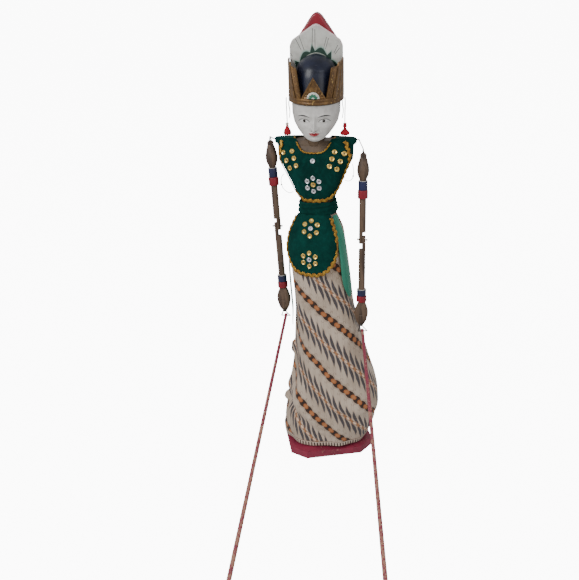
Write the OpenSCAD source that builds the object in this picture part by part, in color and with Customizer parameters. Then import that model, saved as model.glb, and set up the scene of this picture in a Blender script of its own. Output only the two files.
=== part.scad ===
// Wayang golek rod puppet: a carved wooden head and arms, a cloth-dressed torso,
// and a batik skirt, standing on a central rod in a square wooden stand.
// The puppet faces -Y. The origin is the middle of the stand's underside.

/* [Stand] */
// Side of the square stand
stand_w = 117; // [100:1:140]
// Thickness of the stand
stand_h = 10; // [8:0.5:16]
// Length cut off each corner of the stand
stand_cut = 20; // [10:1:28]
// How far the stand is turned from square to the puppet, in degrees
stand_turn = 22; // [0:1:45]
// Radius of the turned socket that holds the main rod
post_r = 19; // [15:0.5:24]
// Height of the socket's top above the floor
post_top = 38; // [30:1:50]

/* [Main rod and torso] */
// Radius of the main rod
rod_r = 6; // [4.5:0.1:7]
// Height of the main rod's top end, inside the head
rod_top = 485; // [470:1:490]
// Height of the shoulders' top above the floor
shoulder_z = 446; // [440:1:450]
// Height of the torso's underside
torso_z = 341; // [335:1:346]
// Thickness of the velvet bodice
bodice_t = 1.6; // [1:0.1:2]

/* [Skirt and apron] */
// Thickness of the skirt's cloth as a plain solid
skirt_t = 2; // [1.5:0.1:3]
// Height of the skirt's hem above the floor
hem_z = 10.8; // [10.5:0.1:16]
// Height of the apron's lower tip
apron_tip_z = 267; // [255:1:290]
// How far round to the puppet's right the apron has slipped, in degrees
apron_turn = 7; // [0:0.5:12]

/* [Head] */
// How far the head is turned from the torso, in degrees
head_yaw = 8; // [-10:1:10]
// How far the head leans towards its left shoulder, in degrees
head_lean = 1.4; // [0:0.1:2]
// Radius of the neck
neck_r = 12.3; // [10:0.1:13]
// Height of the crown's topmost point
crown_z = 600; // [590:1:610]

/* [Arms] */
// Distance of the left arm's pivot from the middle
arm_x_l = 61; // [60.5:0.5:66]
// Distance of the right arm's pivot from the middle
arm_x_r = 62.3; // [60.5:0.1:66]
// Height of the left arm's pivot
arm_z_l = 436.1; // [430:0.1:437]
// Height of the right arm's pivot, on its longer string
arm_z_r = 421.6; // [410:0.1:430]
// How far each arm hangs forward, in degrees
arm_forward = 4; // [0:0.5:8]
// How far the left arm hangs inward, in degrees
arm_inward_l = 2.9; // [0:0.1:3.2]
// How far the right arm hangs inward, in degrees
arm_inward_r = 1.2; // [0:0.1:1.5]
// Radius of the arm's straight dowel
arm_r = 4.5; // [4:0.1:5]

/* [Hand rods] */
// Length of a hand rod
hand_rod_len = 400; // [360:5:420]
// Radius of a hand rod at the hand
hand_rod_r1 = 2; // [1.8:0.1:2.2]
// Radius of a hand rod at its lower end
hand_rod_r2 = 3; // [2.4:0.1:3.5]
// Heading of the left hand rod from straight ahead, in degrees
heading_l = 1.7; // [-10:0.1:10]
// Heading of the right hand rod from straight ahead, in degrees
heading_r = 14.9; // [0:0.1:20]

/* [Hidden] */

$fn = 48;
fit = 0.05;         // running clearance on a radius
string_r = 0.7;     // waxed string of the arm joints
string_z = 442.8;   // height of the string's hole in each shoulder
seg = 32;           // points round a lofted ring
squareness = 2.5;   // 2 is an ellipse, more is squarer

// Distances along an arm, measured down from its pivot
arm_top = 4.4;
band_top = 32;
band_mid = 44.6;
band_end = 56.1;
notch_z = 101.2;
fore_top = 107;
elbow_z = 111.8;
tongue_end = 116.6;
step_z = 125;
wrist_top = 180.5;
wrist_mid = 190;
wrist_end = 199;
palm_z = 229.5;
hand_tip = 234;

// Where each hand rod's string passes through it
rod_pin_l = [-46, -24.5, 200.5];
rod_pin_r = [61, -24.5, 184.5];
rod_above = 2.5;

// Rings as [z, middle x, middle y, half width, half depth]
bodice_rings = [[363.5, 0, -1, 23, 18], [372, 0, -1.5, 27, 19], [384, 0, -2, 32.5, 20],
  [397, 0, -2, 38, 20.5], [409, 0, -2, 43.5, 20.5], [418, 0, -1.5, 49.2, 19],
  [428, 0, -0.5, 50.5, 17], [436, 0, 0, 51, 14], [438, 0, 0, 54.5, 13.5],
  [443, 0, 0, 55.5, 12], [shoulder_z, 0, 0, 54, 10]];
torso_rings = [[torso_z, 0, 0, 18, 14], [364, 0, -1, 20.5, 15.5],
  for (r = bodice_rings) if (r[0] > 370 && r[0] < 445) inset(r, bodice_t + 0.5)];
skirt_rings = [[hem_z, 0, -2, 60, 53], [28, 2, -3, 65, 54], [50, 10, -4, 66, 54],
  [75, 16, -4, 64, 53], [105, 16, -4, 57, 49], [140, 12, -3, 50, 44], [182, 6.5, -2, 45, 40],
  [209, 3.5, -1, 41.5, 37.5], [240, 2, -2, 41, 37], [270, 0, -3, 40, 36], [300, -1, -3, 38, 34],
  [322, -1, -2, 35, 30], [338, -1, -1, 28, 23.5], [347, 0, -0.5, 23.3, 18.8], [352, 0, 0, 22.5, 18]];
head_rings = [[447.4, 0, -25, 6, 8], [449.5, 0, -21, 11.5, 14.5], [454, 0, -16, 17, 20.5],
  [461, 0, -10.5, 23, 27], [469, 0, -6, 28, 32], [480, 0, -3.5, 30.6, 35.5], [493, 0, -2.5, 31, 36.6],
  [503, 0, -2, 31, 36.6]];
dome_rings = [[503.3, 0, -1, 29.5, 34], [515, 0, 0, 29, 33], [528, 0, 0, 27, 30.5],
  [538, 0, 0, 23.5, 26], [545, 0, 0, 17, 18.5], [549, 0, 0, 9, 9.5], [550.3, 0, 0, 3, 3]];

skirt_tiers = [347.2, 300, 235, 150, 80, hem_z];   // heights that divide the skirt's wall

// Routes of the tassel cords and the thread loops, in millimetres
cord_l = [[-37, -12, 499], [-37.2, -12.1, 493], [-37, -12.2, 486],
  [-36.8, -12.2, 479], [-36.7, -12.2, 472], [-36.7, -12.2, 466.8]];
cord_r = [[37, -12, 499], [37.3, -12.1, 493], [37.1, -12.2, 486],
  [36.9, -12.2, 479], [36.8, -12.2, 472], [36.8, -12.2, 466.8]];
tie_l = [[-41.6, -10, 398], [-43.5, -12, 396.5], [-45, -14, 392], [-44.5, -15, 385], [-42, -15, 379],
  [-37.5, -13.5, 374.5], [-33.5, -11.5, 373], [-30.9, -9, 374]];
tie_r = [[48.6, -6, 412.5], [50.2, -8, 409], [51.2, -10, 404], [51, -11, 399], [49.5, -11, 394.5],
  [46.5, -10, 391.5], [43, -8.5, 390], [38.8, -7.5, 391]];

function inset(r, d) = [r[0], r[1], r[2], r[3] - d, r[4] - d];
function grown(rings, d) = [for (r = rings) inset(r, -d)];
function pw(v, e) = sign(v) * pow(abs(v), 2 / e);
function col(rings, k) = [for (r = rings) [r[0], r[k]]];
function at_z(rings, k, z) = lookup(z, col(rings, k));
function surf(rings, z, a, off = 0, e = squareness) = [
  at_z(rings, 1, z) + (at_z(rings, 3, z) + off) * pw(cos(a), e),
  at_z(rings, 2, z) + (at_z(rings, 4, z) + off) * pw(sin(a), e), z];
function unit(v) = v / norm(v);
function mix(a, b, t) = a + (b - a) * t;
function face_dir(rings, z, a) =
  unit(cross(surf(rings, z, a + 2) - surf(rings, z, a - 2), surf(rings, z + 2, a) - surf(rings, z - 2, a)));
// Angle round the front at which a lofted body has a given x
function front_angle(rings, x, z) =
  let (u = (x - at_z(rings, 1, z)) / at_z(rings, 3, z)) -acos(sign(u) * pow(abs(u), squareness / 2));

// Solid through a stack of rings
module loft(rings, e = squareness) {
  pts = [for (r = rings) for (i = [0:seg - 1]) let (a = 360 * i / seg)
    [r[1] + r[3] * pw(cos(a), e), r[2] + r[4] * pw(sin(a), e), r[0]]];
  n = len(rings);
  walls = [for (j = [0:n - 2]) for (i = [0:seg - 1]) let (k = (i + 1) % seg)
    [j * seg + i, (j + 1) * seg + i, (j + 1) * seg + k, j * seg + k]];
  floor_face = [for (i = [0:seg - 1]) i];
  roof_face = [for (i = [seg - 1:-1:0]) (n - 1) * seg + i];
  polyhedron(points = pts, faces = concat(walls, [floor_face], [roof_face]));
}

// Flat strip along a path, w wide and t thick, flat side facing dirs
module strip(path, dirs, w, t) {
  n = len(path);
  side = [for (i = [0:n - 1])
    let (d = path[min(i + 1, n - 1)] - path[max(i - 1, 0)]) unit(cross(d, dirs[i]))];
  pts = [for (i = [0:n - 1]) each [
    path[i] - side[i] * w / 2 - dirs[i] * t / 2, path[i] + side[i] * w / 2 - dirs[i] * t / 2,
    path[i] + side[i] * w / 2 + dirs[i] * t / 2, path[i] - side[i] * w / 2 + dirs[i] * t / 2]];
  walls = [for (i = [0:n - 2]) for (k = [0:3])
    [4 * i + k, 4 * i + (k + 1) % 4, 4 * i + 4 + (k + 1) % 4, 4 * i + 4 + k]];
  polyhedron(points = pts, faces = concat(walls, [[3, 2, 1, 0]], [[for (k = [0:3]) 4 * n - 4 + k]]));
}

// Curved panel lying over a loft between angles a0 and a1, from z = top to the z that low(u) gives
module panel(rings, a0, a1, top, lows, off, t, rows = 9) {
  m = len(lows) - 1;
  grid = [for (d = [off, off + t]) for (i = [0:m]) for (j = [0:rows])
    surf(rings, mix(top, lows[i], j / rows), mix(a0, a1, i / m), d)];
  q = rows + 1;
  s = (m + 1) * q;
  inner = [for (i = [0:m - 1]) for (j = [0:rows - 1])
    [i * q + j, i * q + j + 1, (i + 1) * q + j + 1, (i + 1) * q + j]];
  outer = [for (f = inner) [for (k = [3:-1:0]) f[k] + s]];
  ends = [for (i = [0:m - 1]) each [
    [i * q, (i + 1) * q, (i + 1) * q + s, i * q + s],
    [i * q + rows, i * q + rows + s, (i + 1) * q + rows + s, (i + 1) * q + rows]]];
  sides = [for (j = [0:rows - 1]) each [
    [j, j + s, j + 1 + s, j + 1],
    [m * q + j, m * q + j + 1, m * q + j + 1 + s, m * q + j + s]]];
  polyhedron(points = grid, faces = concat(inner, outer, ends, sides));
}

// Tube of radius r swept along a smooth route
module tube(route, r, sides = 8) {
  n = len(route);
  rings = [for (i = [0:n - 1])
    let (d = unit(route[min(i + 1, n - 1)] - route[max(i - 1, 0)]),
         u = unit(cross(d, [0.3, 1, 0.1])), v = cross(d, u))
    for (k = [0:sides - 1]) route[i] + r * (u * cos(360 * k / sides) + v * sin(360 * k / sides))];
  walls = [for (i = [0:n - 2]) for (k = [0:sides - 1]) let (m = (k + 1) % sides)
    [i * sides + k, i * sides + m, (i + 1) * sides + m, (i + 1) * sides + k]];
  polyhedron(points = rings, faces = concat(walls,
    [[for (k = [sides - 1:-1:0]) k]], [[for (k = [0:sides - 1]) (n - 1) * sides + k]]));
}
// Points of a curve through a route, with steps points to a span
function bend(p, i, t) =
  let (a = p[max(i - 1, 0)], b = p[i], c = p[i + 1], d = p[min(i + 2, len(p) - 1)])
  0.5 * (2 * b + (c - a) * t + (2 * a - 5 * b + 4 * c - d) * t * t + (3 * b - a - 3 * c + d) * t * t * t);
function smooth(p, steps) = concat([for (i = [0:len(p) - 2]) for (k = [0:steps - 1]) bend(p, i, k / steps)],
  [p[len(p) - 1]]);

// Child placed with its +Z along the direction d
module aim(p, d) {
  translate(p) rotate([0, acos(d[2] / norm(d)), atan2(d[1], d[0])]) children();
}
// Round string through a list of points
module thread(pts, r = string_r) {
  for (i = [0:len(pts) - 2])
    aim(pts[i], pts[i + 1] - pts[i]) cylinder(h = norm(pts[i + 1] - pts[i]), r = r);
  for (i = [1:max(1, len(pts) - 2)])
    translate(pts[i]) sphere(r = r * 1.1, $fn = 24);
}

module head_place() {
  translate([2, 0, 440]) rotate([0, head_lean, head_yaw]) translate([0, 0, -440]) children();
}
// Arm frame: origin at the pivot, +Z up the arm; the arm is drawn as a right arm
module arm_place(side) {
  x = side < 0 ? -arm_x_l : arm_x_r;
  z = side < 0 ? arm_z_l : arm_z_r;
  lean = side < 0 ? -arm_inward_l : arm_inward_r;
  translate([x, 0, z]) rotate([0, lean, 0]) rotate([-arm_forward, 0, 0])
    mirror([side < 0 ? 1 : 0, 0, 0]) children();
}
// A point of the arm frame, in the part's frame
function arm_point(side, p) =
  let (x = side < 0 ? -arm_x_l : arm_x_r, z = side < 0 ? arm_z_l : arm_z_r,
       lean = side < 0 ? -arm_inward_l : arm_inward_r,
       y1 = p[1] * cos(arm_forward) + p[2] * sin(arm_forward),
       z1 = p[2] * cos(arm_forward) - p[1] * sin(arm_forward))
  [x + side * p[0] * cos(lean) + z1 * sin(lean), y1, z + z1 * cos(lean) - side * p[0] * sin(lean)];

// ---- stand ----
module stand_outline() {
  h = stand_w / 2;
  c = h - stand_cut;
  polygon([[h, -c], [h, c], [c, h], [-c, h], [-h, c], [-h, -c], [-c, -h], [c, -h]]);
}
module stand_base() {
  color("firebrick") rotate([0, 0, stand_turn]) difference() {
    linear_extrude(stand_h) stand_outline();
    for (x = [-13, 13]) translate([x, 0, -1]) {
      cylinder(h = stand_h + 2, r = 2.1);
      cylinder(h = 3.4, r = 4.1);
    }
  }
}
module stand_post() {
  color("firebrick") rotate([0, 0, stand_turn]) difference() {
    translate([0, 0, stand_h]) cylinder(h = post_top - stand_h, r = post_r);
    translate([0, 0, stand_h - 1]) cylinder(h = post_top, r = rod_r + fit);
    for (x = [-13, 13]) translate([x, 0, stand_h - 1]) cylinder(h = 15, r = 2.1);
  }
}
module stand_screws() {
  color("dimgray") rotate([0, 0, stand_turn])
    for (x = [-13, 13]) translate([x, 0, 0.6]) {
      cylinder(h = 1.6, r = 3.9);
      cylinder(h = 21, r = 2);
    }
}

// ---- torso and its clothes ----
module string_holes(r) {
  for (s = [-1, 1]) translate([s * 60, 0, string_z]) rotate([0, -s * 90, 0]) cylinder(h = 16, r = r);
}
module torso() {
  color("saddlebrown") difference() {
    loft(torso_rings);
    translate([0, 0, torso_z - 1]) cylinder(h = 120, r = rod_r + fit);
    translate([0, 0, 436]) cylinder(h = 20, r = neck_r + 0.4);
    string_holes(string_r + fit);
  }
}
module bodice() {
  color("darkgreen") difference() {
    loft(bodice_rings);
    loft([for (r = grown(bodice_rings, -bodice_t)) r[0] < 364 ? [r[0] - 1, r[1], r[2], r[3], r[4]]
      : r[0] > 445 ? [r[0] - bodice_t, r[1], r[2], r[3], r[4]] : r]);
    translate([0, -1.5, 428]) scale([26, 16.5, 1]) cylinder(h = 30, r = 1);
    string_holes(1.3);
  }
}
// Braid down both sides of the bodice and round its lower edge
module bodice_trim() {
  sides = [for (z = [436:-7:373]) [z, -14]];
  lower = [for (a = [-22:-17:-158]) [366.6, a]];
  other = [for (z = [373:7:436]) [z, -166]];
  way = concat(sides, lower, other);
  color("goldenrod") strip([for (w = way) surf(bodice_rings, w[0], w[1], 2.4)],
    [for (w = way) face_dir(bodice_rings, w[0], w[1])], 5, 1.1);
}
module neckline_trim() {
  color("goldenrod") intersection() {
    difference() {
      loft(grown(bodice_rings, 1.1));
      loft(grown(bodice_rings, 0.1));
    }
    difference() {
      translate([0, -1.5, 428]) scale([28, 18.8, 1]) cylinder(h = 17.6, r = 1);
      translate([0, -1.5, 420]) scale([26, 16.5, 1]) cylinder(h = 40, r = 1);
    }
    translate([-30, -30, 420]) cube([60, 30, 40]);
  }
}
module waist_sash() {
  color("darkgreen") difference() {
    loft([[347.2, 0, -0.5, 25, 21], [350, 0, 0, 26.3, 22], [356, 0, -0.5, 25.4, 21], [362.8, 0, -1, 24,
        19.4]]);
    loft([[346, 0, -0.5, 24, 19.6], [352.4, 0, 0, 22.9, 18.5], [364, 0, -1, 22.2, 17.8]]);
  }
}
function apron_low(u) = mix(apron_tip_z, 300, pow(abs(u), 2.2));
module apron() {
  lows = [for (i = [-7:7]) apron_low(i / 7)];
  color("darkgreen") rotate([0, 0, -apron_turn])
    panel(skirt_rings, -146, -34, 346.6, lows, 2, 1.2);
}
module apron_trim() {
  way = concat([for (z = [343:-9:307]) [z, -144]],
    [for (i = [-6:6]) [apron_low(i / 6.4) + 2.5, -90 + i * 8.6]],
    [for (z = [307:9:343]) [z, -36]]);
  color("goldenrod") rotate([0, 0, -apron_turn])
    strip([for (w = way) surf(skirt_rings, w[0], w[1], 4.5)],
      [for (w = way) face_dir(skirt_rings, w[0], w[1])], 5, 1.1);
}
module side_sash_l() {
  color("mediumseagreen") panel(skirt_rings, -176, -154.3, 344, [196, 190, 186, 184, 188], 1.4, 0.7);
}
module side_sash_r() {
  color("mediumseagreen") panel(skirt_rings, -36, -8, 344, [250, 238, 231, 230, 236], 1.4, 0.7);
}
// The cloth's wall in separate pieces, so that each one's collision leaves the room inside open
module skirt() {
  color("tan") for (i = [0:len(skirt_tiers) - 2]) for (k = [0:7])
    panel(skirt_rings, 45 * k + 0.3, 45 * k + 44.7, skirt_tiers[i] - 0.3,
      [for (n = [0:4]) skirt_tiers[i + 1]], -skirt_t, skirt_t, 6);
}
// Sequins on the bodice as [x, z] for the right side; each has a twin on the left
shoulder_sequins = [[28, 430], [40, 427.5], [25, 421.5], [35.5, 418], [22, 412.5], [31, 408.5]];
flower_r = 9;
module sequin(rings, x, z, off, r, h) {
  a = front_angle(rings, x, z);
  aim(surf(rings, z, a, off), face_dir(rings, z, a)) cylinder(h = h, r = r, $fn = 20);
}
module flower(rings, x, z, off, r, h) {
  for (k = [0:5]) sequin(rings, x + flower_r * cos(60 * k + 30), z + flower_r * sin(60 * k + 30), off, r, h);
}
module gold_set(off, r, h, skirt_off) {
  for (p = shoulder_sequins) for (s = [-1, 1]) sequin(bodice_rings, s * p[0], p[1], off, r, h);
  sequin(bodice_rings, 0, 388, off, r, h);
  rotate([0, 0, -apron_turn]) for (z = [331, 291]) flower(skirt_rings, 0, z, skirt_off, r, h);
}
module silver_set(off, r, h, skirt_off) {
  sequin(bodice_rings, 0, 419, off, r, h);
  flower(bodice_rings, 0, 388, off, r, h);
  rotate([0, 0, -apron_turn]) for (z = [331, 291]) sequin(skirt_rings, 0, z, skirt_off, r, h);
}
module sequins_gold() {
  color("gold") gold_set(0.1, 3.3, 0.7, 3.3);
}
module sequins_silver() {
  color("silver") silver_set(0.1, 3.3, 0.7, 3.3);
}
module sequin_beads() {
  color("gainsboro") {
    gold_set(1.3, 1.1, 1.2, 4.6);
    silver_set(1.3, 1.1, 1.2, 4.6);
  }
}
module bodice_tie_l() {
  color("black") tube(smooth(tie_l, 3), 0.4);
}
module bodice_tie_r() {
  color("black") tube(smooth(tie_r, 3), 0.4);
}

// ---- main rod, neck and head ----
module main_rod() {
  color("saddlebrown") translate([0, 0, stand_h + 0.4]) cylinder(h = rod_top - stand_h - 0.4, r = rod_r);
}
module stop_collar() {
  color("saddlebrown") difference() {
    translate([0, 0, torso_z - 6.3]) cylinder(h = 6, r = 11);
    translate([0, 0, torso_z - 10]) cylinder(h = 12, r = rod_r);
  }
}
module neck() {
  color("saddlebrown") difference() {
    translate([0, 0, 436.4]) cylinder(h = 23.6, r = neck_r);
    translate([0, 0, 430]) cylinder(h = 40, r = rod_r);
  }
}
module head() {
  color("whitesmoke") difference() {
    head_place() loft(head_rings, 2.1);
    translate([0, 0, 430]) cylinder(h = 30, r = neck_r);
    translate([0, 0, 430]) cylinder(h = rod_top - 430, r = rod_r);
  }
}
module hair_dome() {
  color("midnightblue") head_place() difference() {
    loft(dome_rings, 2);
    translate([-50, 3.8, 490]) cube([100, 50, 80]);
  }
}
module oval(rx, ry, z0, z1) {
  translate([0, -2, z0]) scale([rx, ry, 1]) cylinder(h = z1 - z0, r = 1);
}
// Head band with a pointed panel in front and tall panels beside it
module diadem() {
  color("peru") head_place() {
    difference() {
      oval(35.2, 41.2, 494.5, 502.8);
      oval(32.4, 38.4, 490, 510);
    }
    intersection() {
      difference() {
        oval(33.8, 39.8, 502.8, 550);
        oval(31.6, 37.6, 500, 560);
      }
      translate([0, 3.5, 0]) rotate([90, 0, 0]) linear_extrude(60) union() {
        polygon([[-16, 502.5], [16, 502.5], [0, 529]]);
        for (s = [-1, 1]) polygon([[s * 16.5, 502.5], [s * 40, 502.5], [s * 40, 546], [s * 31, 544],
            [s * 21.5, 540]]);
      }
    }
  }
}
module diadem_jewel() {
  color("seagreen") head_place() intersection() {
    translate([0, -41.8, 503.4]) rotate([90, 0, 0]) cylinder(h = 1.6, r = 8);
    translate([-10, -50, 503.4]) cube([20, 20, 20]);
  }
}
module board(pts, y0, y1) {
  translate([0, y1, 0]) rotate([90, 0, 0]) linear_extrude(y1 - y0) polygon(pts);
}
module crest_fan() {
  color("ivory") head_place() board([[-31, 503.4], [31, 503.4], [33.5, 545], [33.5, 560], [30.5, 567],
    [4, 585], [0, 586.5], [-4, 585], [-30.5, 567], [-33.5, 560], [-33.5, 545]], 4.1, 11);
}
module crest_back() {
  color("crimson") head_place() board([[-28, 503.4], [28, 503.4], [31, 545], [29, 562],
    [6, crown_z - 4], [0, crown_z - 0.5], [-6, crown_z - 4], [-29, 562], [-31, 545]], 11.2, 27);
}
module ear_ribbon(s) {
  color("darkgreen") head_place() translate([s * 34 - 0.4, -9.5, 472]) cube([0.8, 3.6, 22.2]);
}
module ear_ribbon_l() {
  ear_ribbon(-1);
}
module ear_ribbon_r() {
  ear_ribbon(1);
}
module tassel_cord(route) {
  color("black") head_place() tube(smooth(route, 3), 0.6);
}
module tassel_cord_l() {
  tassel_cord(cord_l);
}
module tassel_cord_r() {
  tassel_cord(cord_r);
}
module tassel_bead(s, r, h) {
  end = s < 0 ? cord_l[5] : cord_r[5];
  color(s < 0 ? "peru" : "crimson") head_place() translate([end[0], end[1], end[2] - h]) cylinder(h = h, r = r);
}
module tassel(s, r, h) {
  end = s < 0 ? cord_l[5] : cord_r[5];
  color("crimson") head_place() translate([end[0], end[1], end[2] - h]) rotate_extrude()
    polygon([[0, -12.6 + (h - 6)], [r * 0.8, -12.6 + (h - 6)], [r, -10 + (h - 6)], [r * 0.8,
        -5 + (h - 6) / 2], [1.9, 0], [0, 0]]);
}
module tassel_bead_l() {
  tassel_bead(-1, 2.2, 3);
}
module tassel_bead_r() {
  tassel_bead(1, 2.9, 5.6);
}
module tassel_l() {
  tassel(-1, 5, 3);
}
module tassel_r() {
  tassel(1, 6.2, 5.6);
}

// ---- arms, drawn as a right arm whose inner side is -X ----
module upper_arm(side) {
  color("sienna") arm_place(side) difference() {
    union() {
      rotate_extrude() polygon([[0, -tongue_end], [arm_r, -tongue_end], [arm_r, -band_end],
        [4.1, -band_end + 2], [4.1, -band_top - 1], [5, -30], [7.2, -24.5], [8, -19], [7.6, -14], [6, -7.5],
        [4.3, -1.6], [3, 1.4], [0, 2]]);
      sphere(r = arm_top, $fn = 48);
    }
    translate([0, -10, -tongue_end - 5]) cube([10, 20, tongue_end + 5 - notch_z]);
    translate([0, 10, 0]) rotate([90, 0, 0]) cylinder(h = 20, r = string_r + fit);
    translate([-10, 0, -elbow_z]) rotate([0, 90, 0]) cylinder(h = 20, r = string_r + fit);
  }
}
module forearm(side) {
  color("sienna") arm_place(side) {
    difference() {
      translate([0, 0, -wrist_end]) cylinder(h = wrist_end - fore_top, r = arm_r);
      translate([-10.4, -10, -step_z]) cube([10.8, 20, 30]);
      translate([-10, 0, -elbow_z]) rotate([0, 90, 0]) cylinder(h = 20, r = string_r + fit);
    }
    difference() {
      translate([0, 3.4, 0]) rotate([90, 0, 0]) linear_extrude(6.8) polygon([[-4.2, -wrist_end], [-7, -205],
        [-9, -212], [-9, -217], [-6.8, -226], [-2, -hand_tip], [2, -hand_tip], [6.8, -226],
        [9, -217], [9, -212], [7, -205], [4.2, -wrist_end]]);
      translate([0, 10, -palm_z]) rotate([90, 0, 0]) cylinder(h = 20, r = string_r + fit);
    }
  }
}
module ring_band(side, top, low, r) {
  arm_place(side) difference() {
    translate([0, 0, -low + 0.1]) cylinder(h = low - top - 0.2, r = r);
    translate([0, 0, -low - 1]) cylinder(h = low - top + 2, r = arm_r + 0.02);
  }
}
module armband_blue(side) {
  color("navy") ring_band(side, band_top, band_mid, 6);
}
module armband_red(side) {
  color("crimson") ring_band(side, band_mid, band_end, 6.7);
}
module wristband_blue(side) {
  color("navy") ring_band(side, wrist_top, wrist_mid, 6.3);
}
module wristband_red(side) {
  color("crimson") ring_band(side, wrist_mid, wrist_end - 0.2, 6.8);
}
// String from the hole in the shoulder, looped through the arm's top hole
module shoulder_string(side) {
  x = side < 0 ? -arm_x_l : arm_x_r;
  z = side < 0 ? arm_z_l : arm_z_r;
  f = [0, 7.2 * cos(arm_forward), -7.2 * sin(arm_forward)];
  p = [x, 0, z];
  loop_top = [x, 0, z + 9];
  color("dimgray") {
    thread([[side * 45.2, 0, string_z], [side * 57, 0, string_z], loop_top]);
    thread([p + f, loop_top, p - f]);
    thread([p + f, p - f]);
    for (q = [p + f, p - f]) translate(q) sphere(r = 1.05, $fn = 24);
  }
}
// String through both tongues of the elbow, knotted at each end
module elbow_string(side) {
  color("dimgray") arm_place(side) {
    translate([-5.6, 0, -elbow_z]) rotate([0, 90, 0]) cylinder(h = 11.2, r = string_r);
    for (x = [-5.9, 5.9]) translate([x, 0, -elbow_z]) sphere(r = 1.3, $fn = 24);
  }
}
function rod_pin(side) = side < 0 ? rod_pin_l : rod_pin_r;
function rod_dir(side) =
  let (p = rod_pin(side), run = hand_rod_len - rod_above, dip = asin((p[2] - 3.2) / run),
       head = side < 0 ? heading_l : heading_r)
  [sin(head) * cos(dip), -cos(head) * cos(dip), -sin(dip)];
// String through the palm, down to a loop through the top of the hand rod
module hand_string(side) {
  back = arm_point(side, [0, 5.3, -palm_z]);
  front = arm_point(side, [0, -5, -palm_z]);
  d = rod_dir(side);
  across = unit([-d[1], d[0], 0]);
  p = rod_pin(side);
  color("dimgray") {
    thread([back, front, p + across * 6, p - across * 6, front]);
    translate(back) sphere(r = 1.5, $fn = 24);
  }
}
module hand_rod(side) {
  d = rod_dir(side);
  color("indianred") aim(rod_pin(side), d) difference() {
    translate([0, 0, -rod_above]) cylinder(h = hand_rod_len, r1 = hand_rod_r1, r2 = hand_rod_r2);
    translate([0, 10, 0]) rotate([90, 0, 0]) cylinder(h = 20, r = string_r + fit);
  }
}

module upper_arm_l() {
  upper_arm(-1);
}
module upper_arm_r() {
  upper_arm(1);
}
module forearm_l() {
  forearm(-1);
}
module forearm_r() {
  forearm(1);
}
module armband_blue_l() {
  armband_blue(-1);
}
module armband_blue_r() {
  armband_blue(1);
}
module armband_red_l() {
  armband_red(-1);
}
module armband_red_r() {
  armband_red(1);
}
module wristband_blue_l() {
  wristband_blue(-1);
}
module wristband_blue_r() {
  wristband_blue(1);
}
module wristband_red_l() {
  wristband_red(-1);
}
module wristband_red_r() {
  wristband_red(1);
}
module shoulder_string_l() {
  shoulder_string(-1);
}
module shoulder_string_r() {
  shoulder_string(1);
}
module elbow_string_l() {
  elbow_string(-1);
}
module elbow_string_r() {
  elbow_string(1);
}
module hand_string_l() {
  hand_string(-1);
}
module hand_string_r() {
  hand_string(1);
}
module hand_rod_l() {
  hand_rod(-1);
}
module hand_rod_r() {
  hand_rod(1);
}

stand_base();
stand_post();
stand_screws();
torso();
bodice();
bodice_trim();
neckline_trim();
waist_sash();
apron();
apron_trim();
sequins_gold();
sequins_silver();
sequin_beads();
side_sash_l();
side_sash_r();
skirt();
bodice_tie_l();
bodice_tie_r();
main_rod();
stop_collar();
neck();
head();
hair_dome();
diadem();
diadem_jewel();
crest_fan();
crest_back();
ear_ribbon_l();
ear_ribbon_r();
tassel_cord_l();
tassel_bead_l();
tassel_l();
tassel_cord_r();
tassel_bead_r();
tassel_r();
shoulder_string_l();
upper_arm_l();
armband_blue_l();
armband_red_l();
elbow_string_l();
forearm_l();
wristband_blue_l();
wristband_red_l();
hand_string_l();
hand_rod_l();
shoulder_string_r();
upper_arm_r();
armband_blue_r();
armband_red_r();
elbow_string_r();
forearm_r();
wristband_blue_r();
wristband_red_r();
hand_string_r();
hand_rod_r();
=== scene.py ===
import bpy
import bmesh
import math
import random
from mathutils import Matrix, Vector, noise
from mathutils.bvhtree import BVHTree


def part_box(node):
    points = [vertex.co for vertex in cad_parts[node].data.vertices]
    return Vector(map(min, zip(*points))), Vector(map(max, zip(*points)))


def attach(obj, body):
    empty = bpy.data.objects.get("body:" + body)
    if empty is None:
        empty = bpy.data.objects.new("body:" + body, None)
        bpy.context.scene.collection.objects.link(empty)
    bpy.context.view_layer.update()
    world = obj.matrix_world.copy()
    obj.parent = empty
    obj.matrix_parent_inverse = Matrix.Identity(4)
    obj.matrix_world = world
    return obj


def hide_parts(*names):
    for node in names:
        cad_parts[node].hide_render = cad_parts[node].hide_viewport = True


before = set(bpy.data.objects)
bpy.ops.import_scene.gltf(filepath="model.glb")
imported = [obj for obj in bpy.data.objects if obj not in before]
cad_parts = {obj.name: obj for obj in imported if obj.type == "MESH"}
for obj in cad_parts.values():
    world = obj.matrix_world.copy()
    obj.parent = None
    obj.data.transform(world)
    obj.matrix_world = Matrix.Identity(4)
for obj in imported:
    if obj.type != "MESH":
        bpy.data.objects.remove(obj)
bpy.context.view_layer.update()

print("frame loaded")

# camera and light
cameraSet = {"turn": 14, "distance": 1.2, "height": 0.74, "aim": (-0.0429, -0.0107, 0.2327),
             "roll": 3.14, "lens": 58.7}


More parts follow.
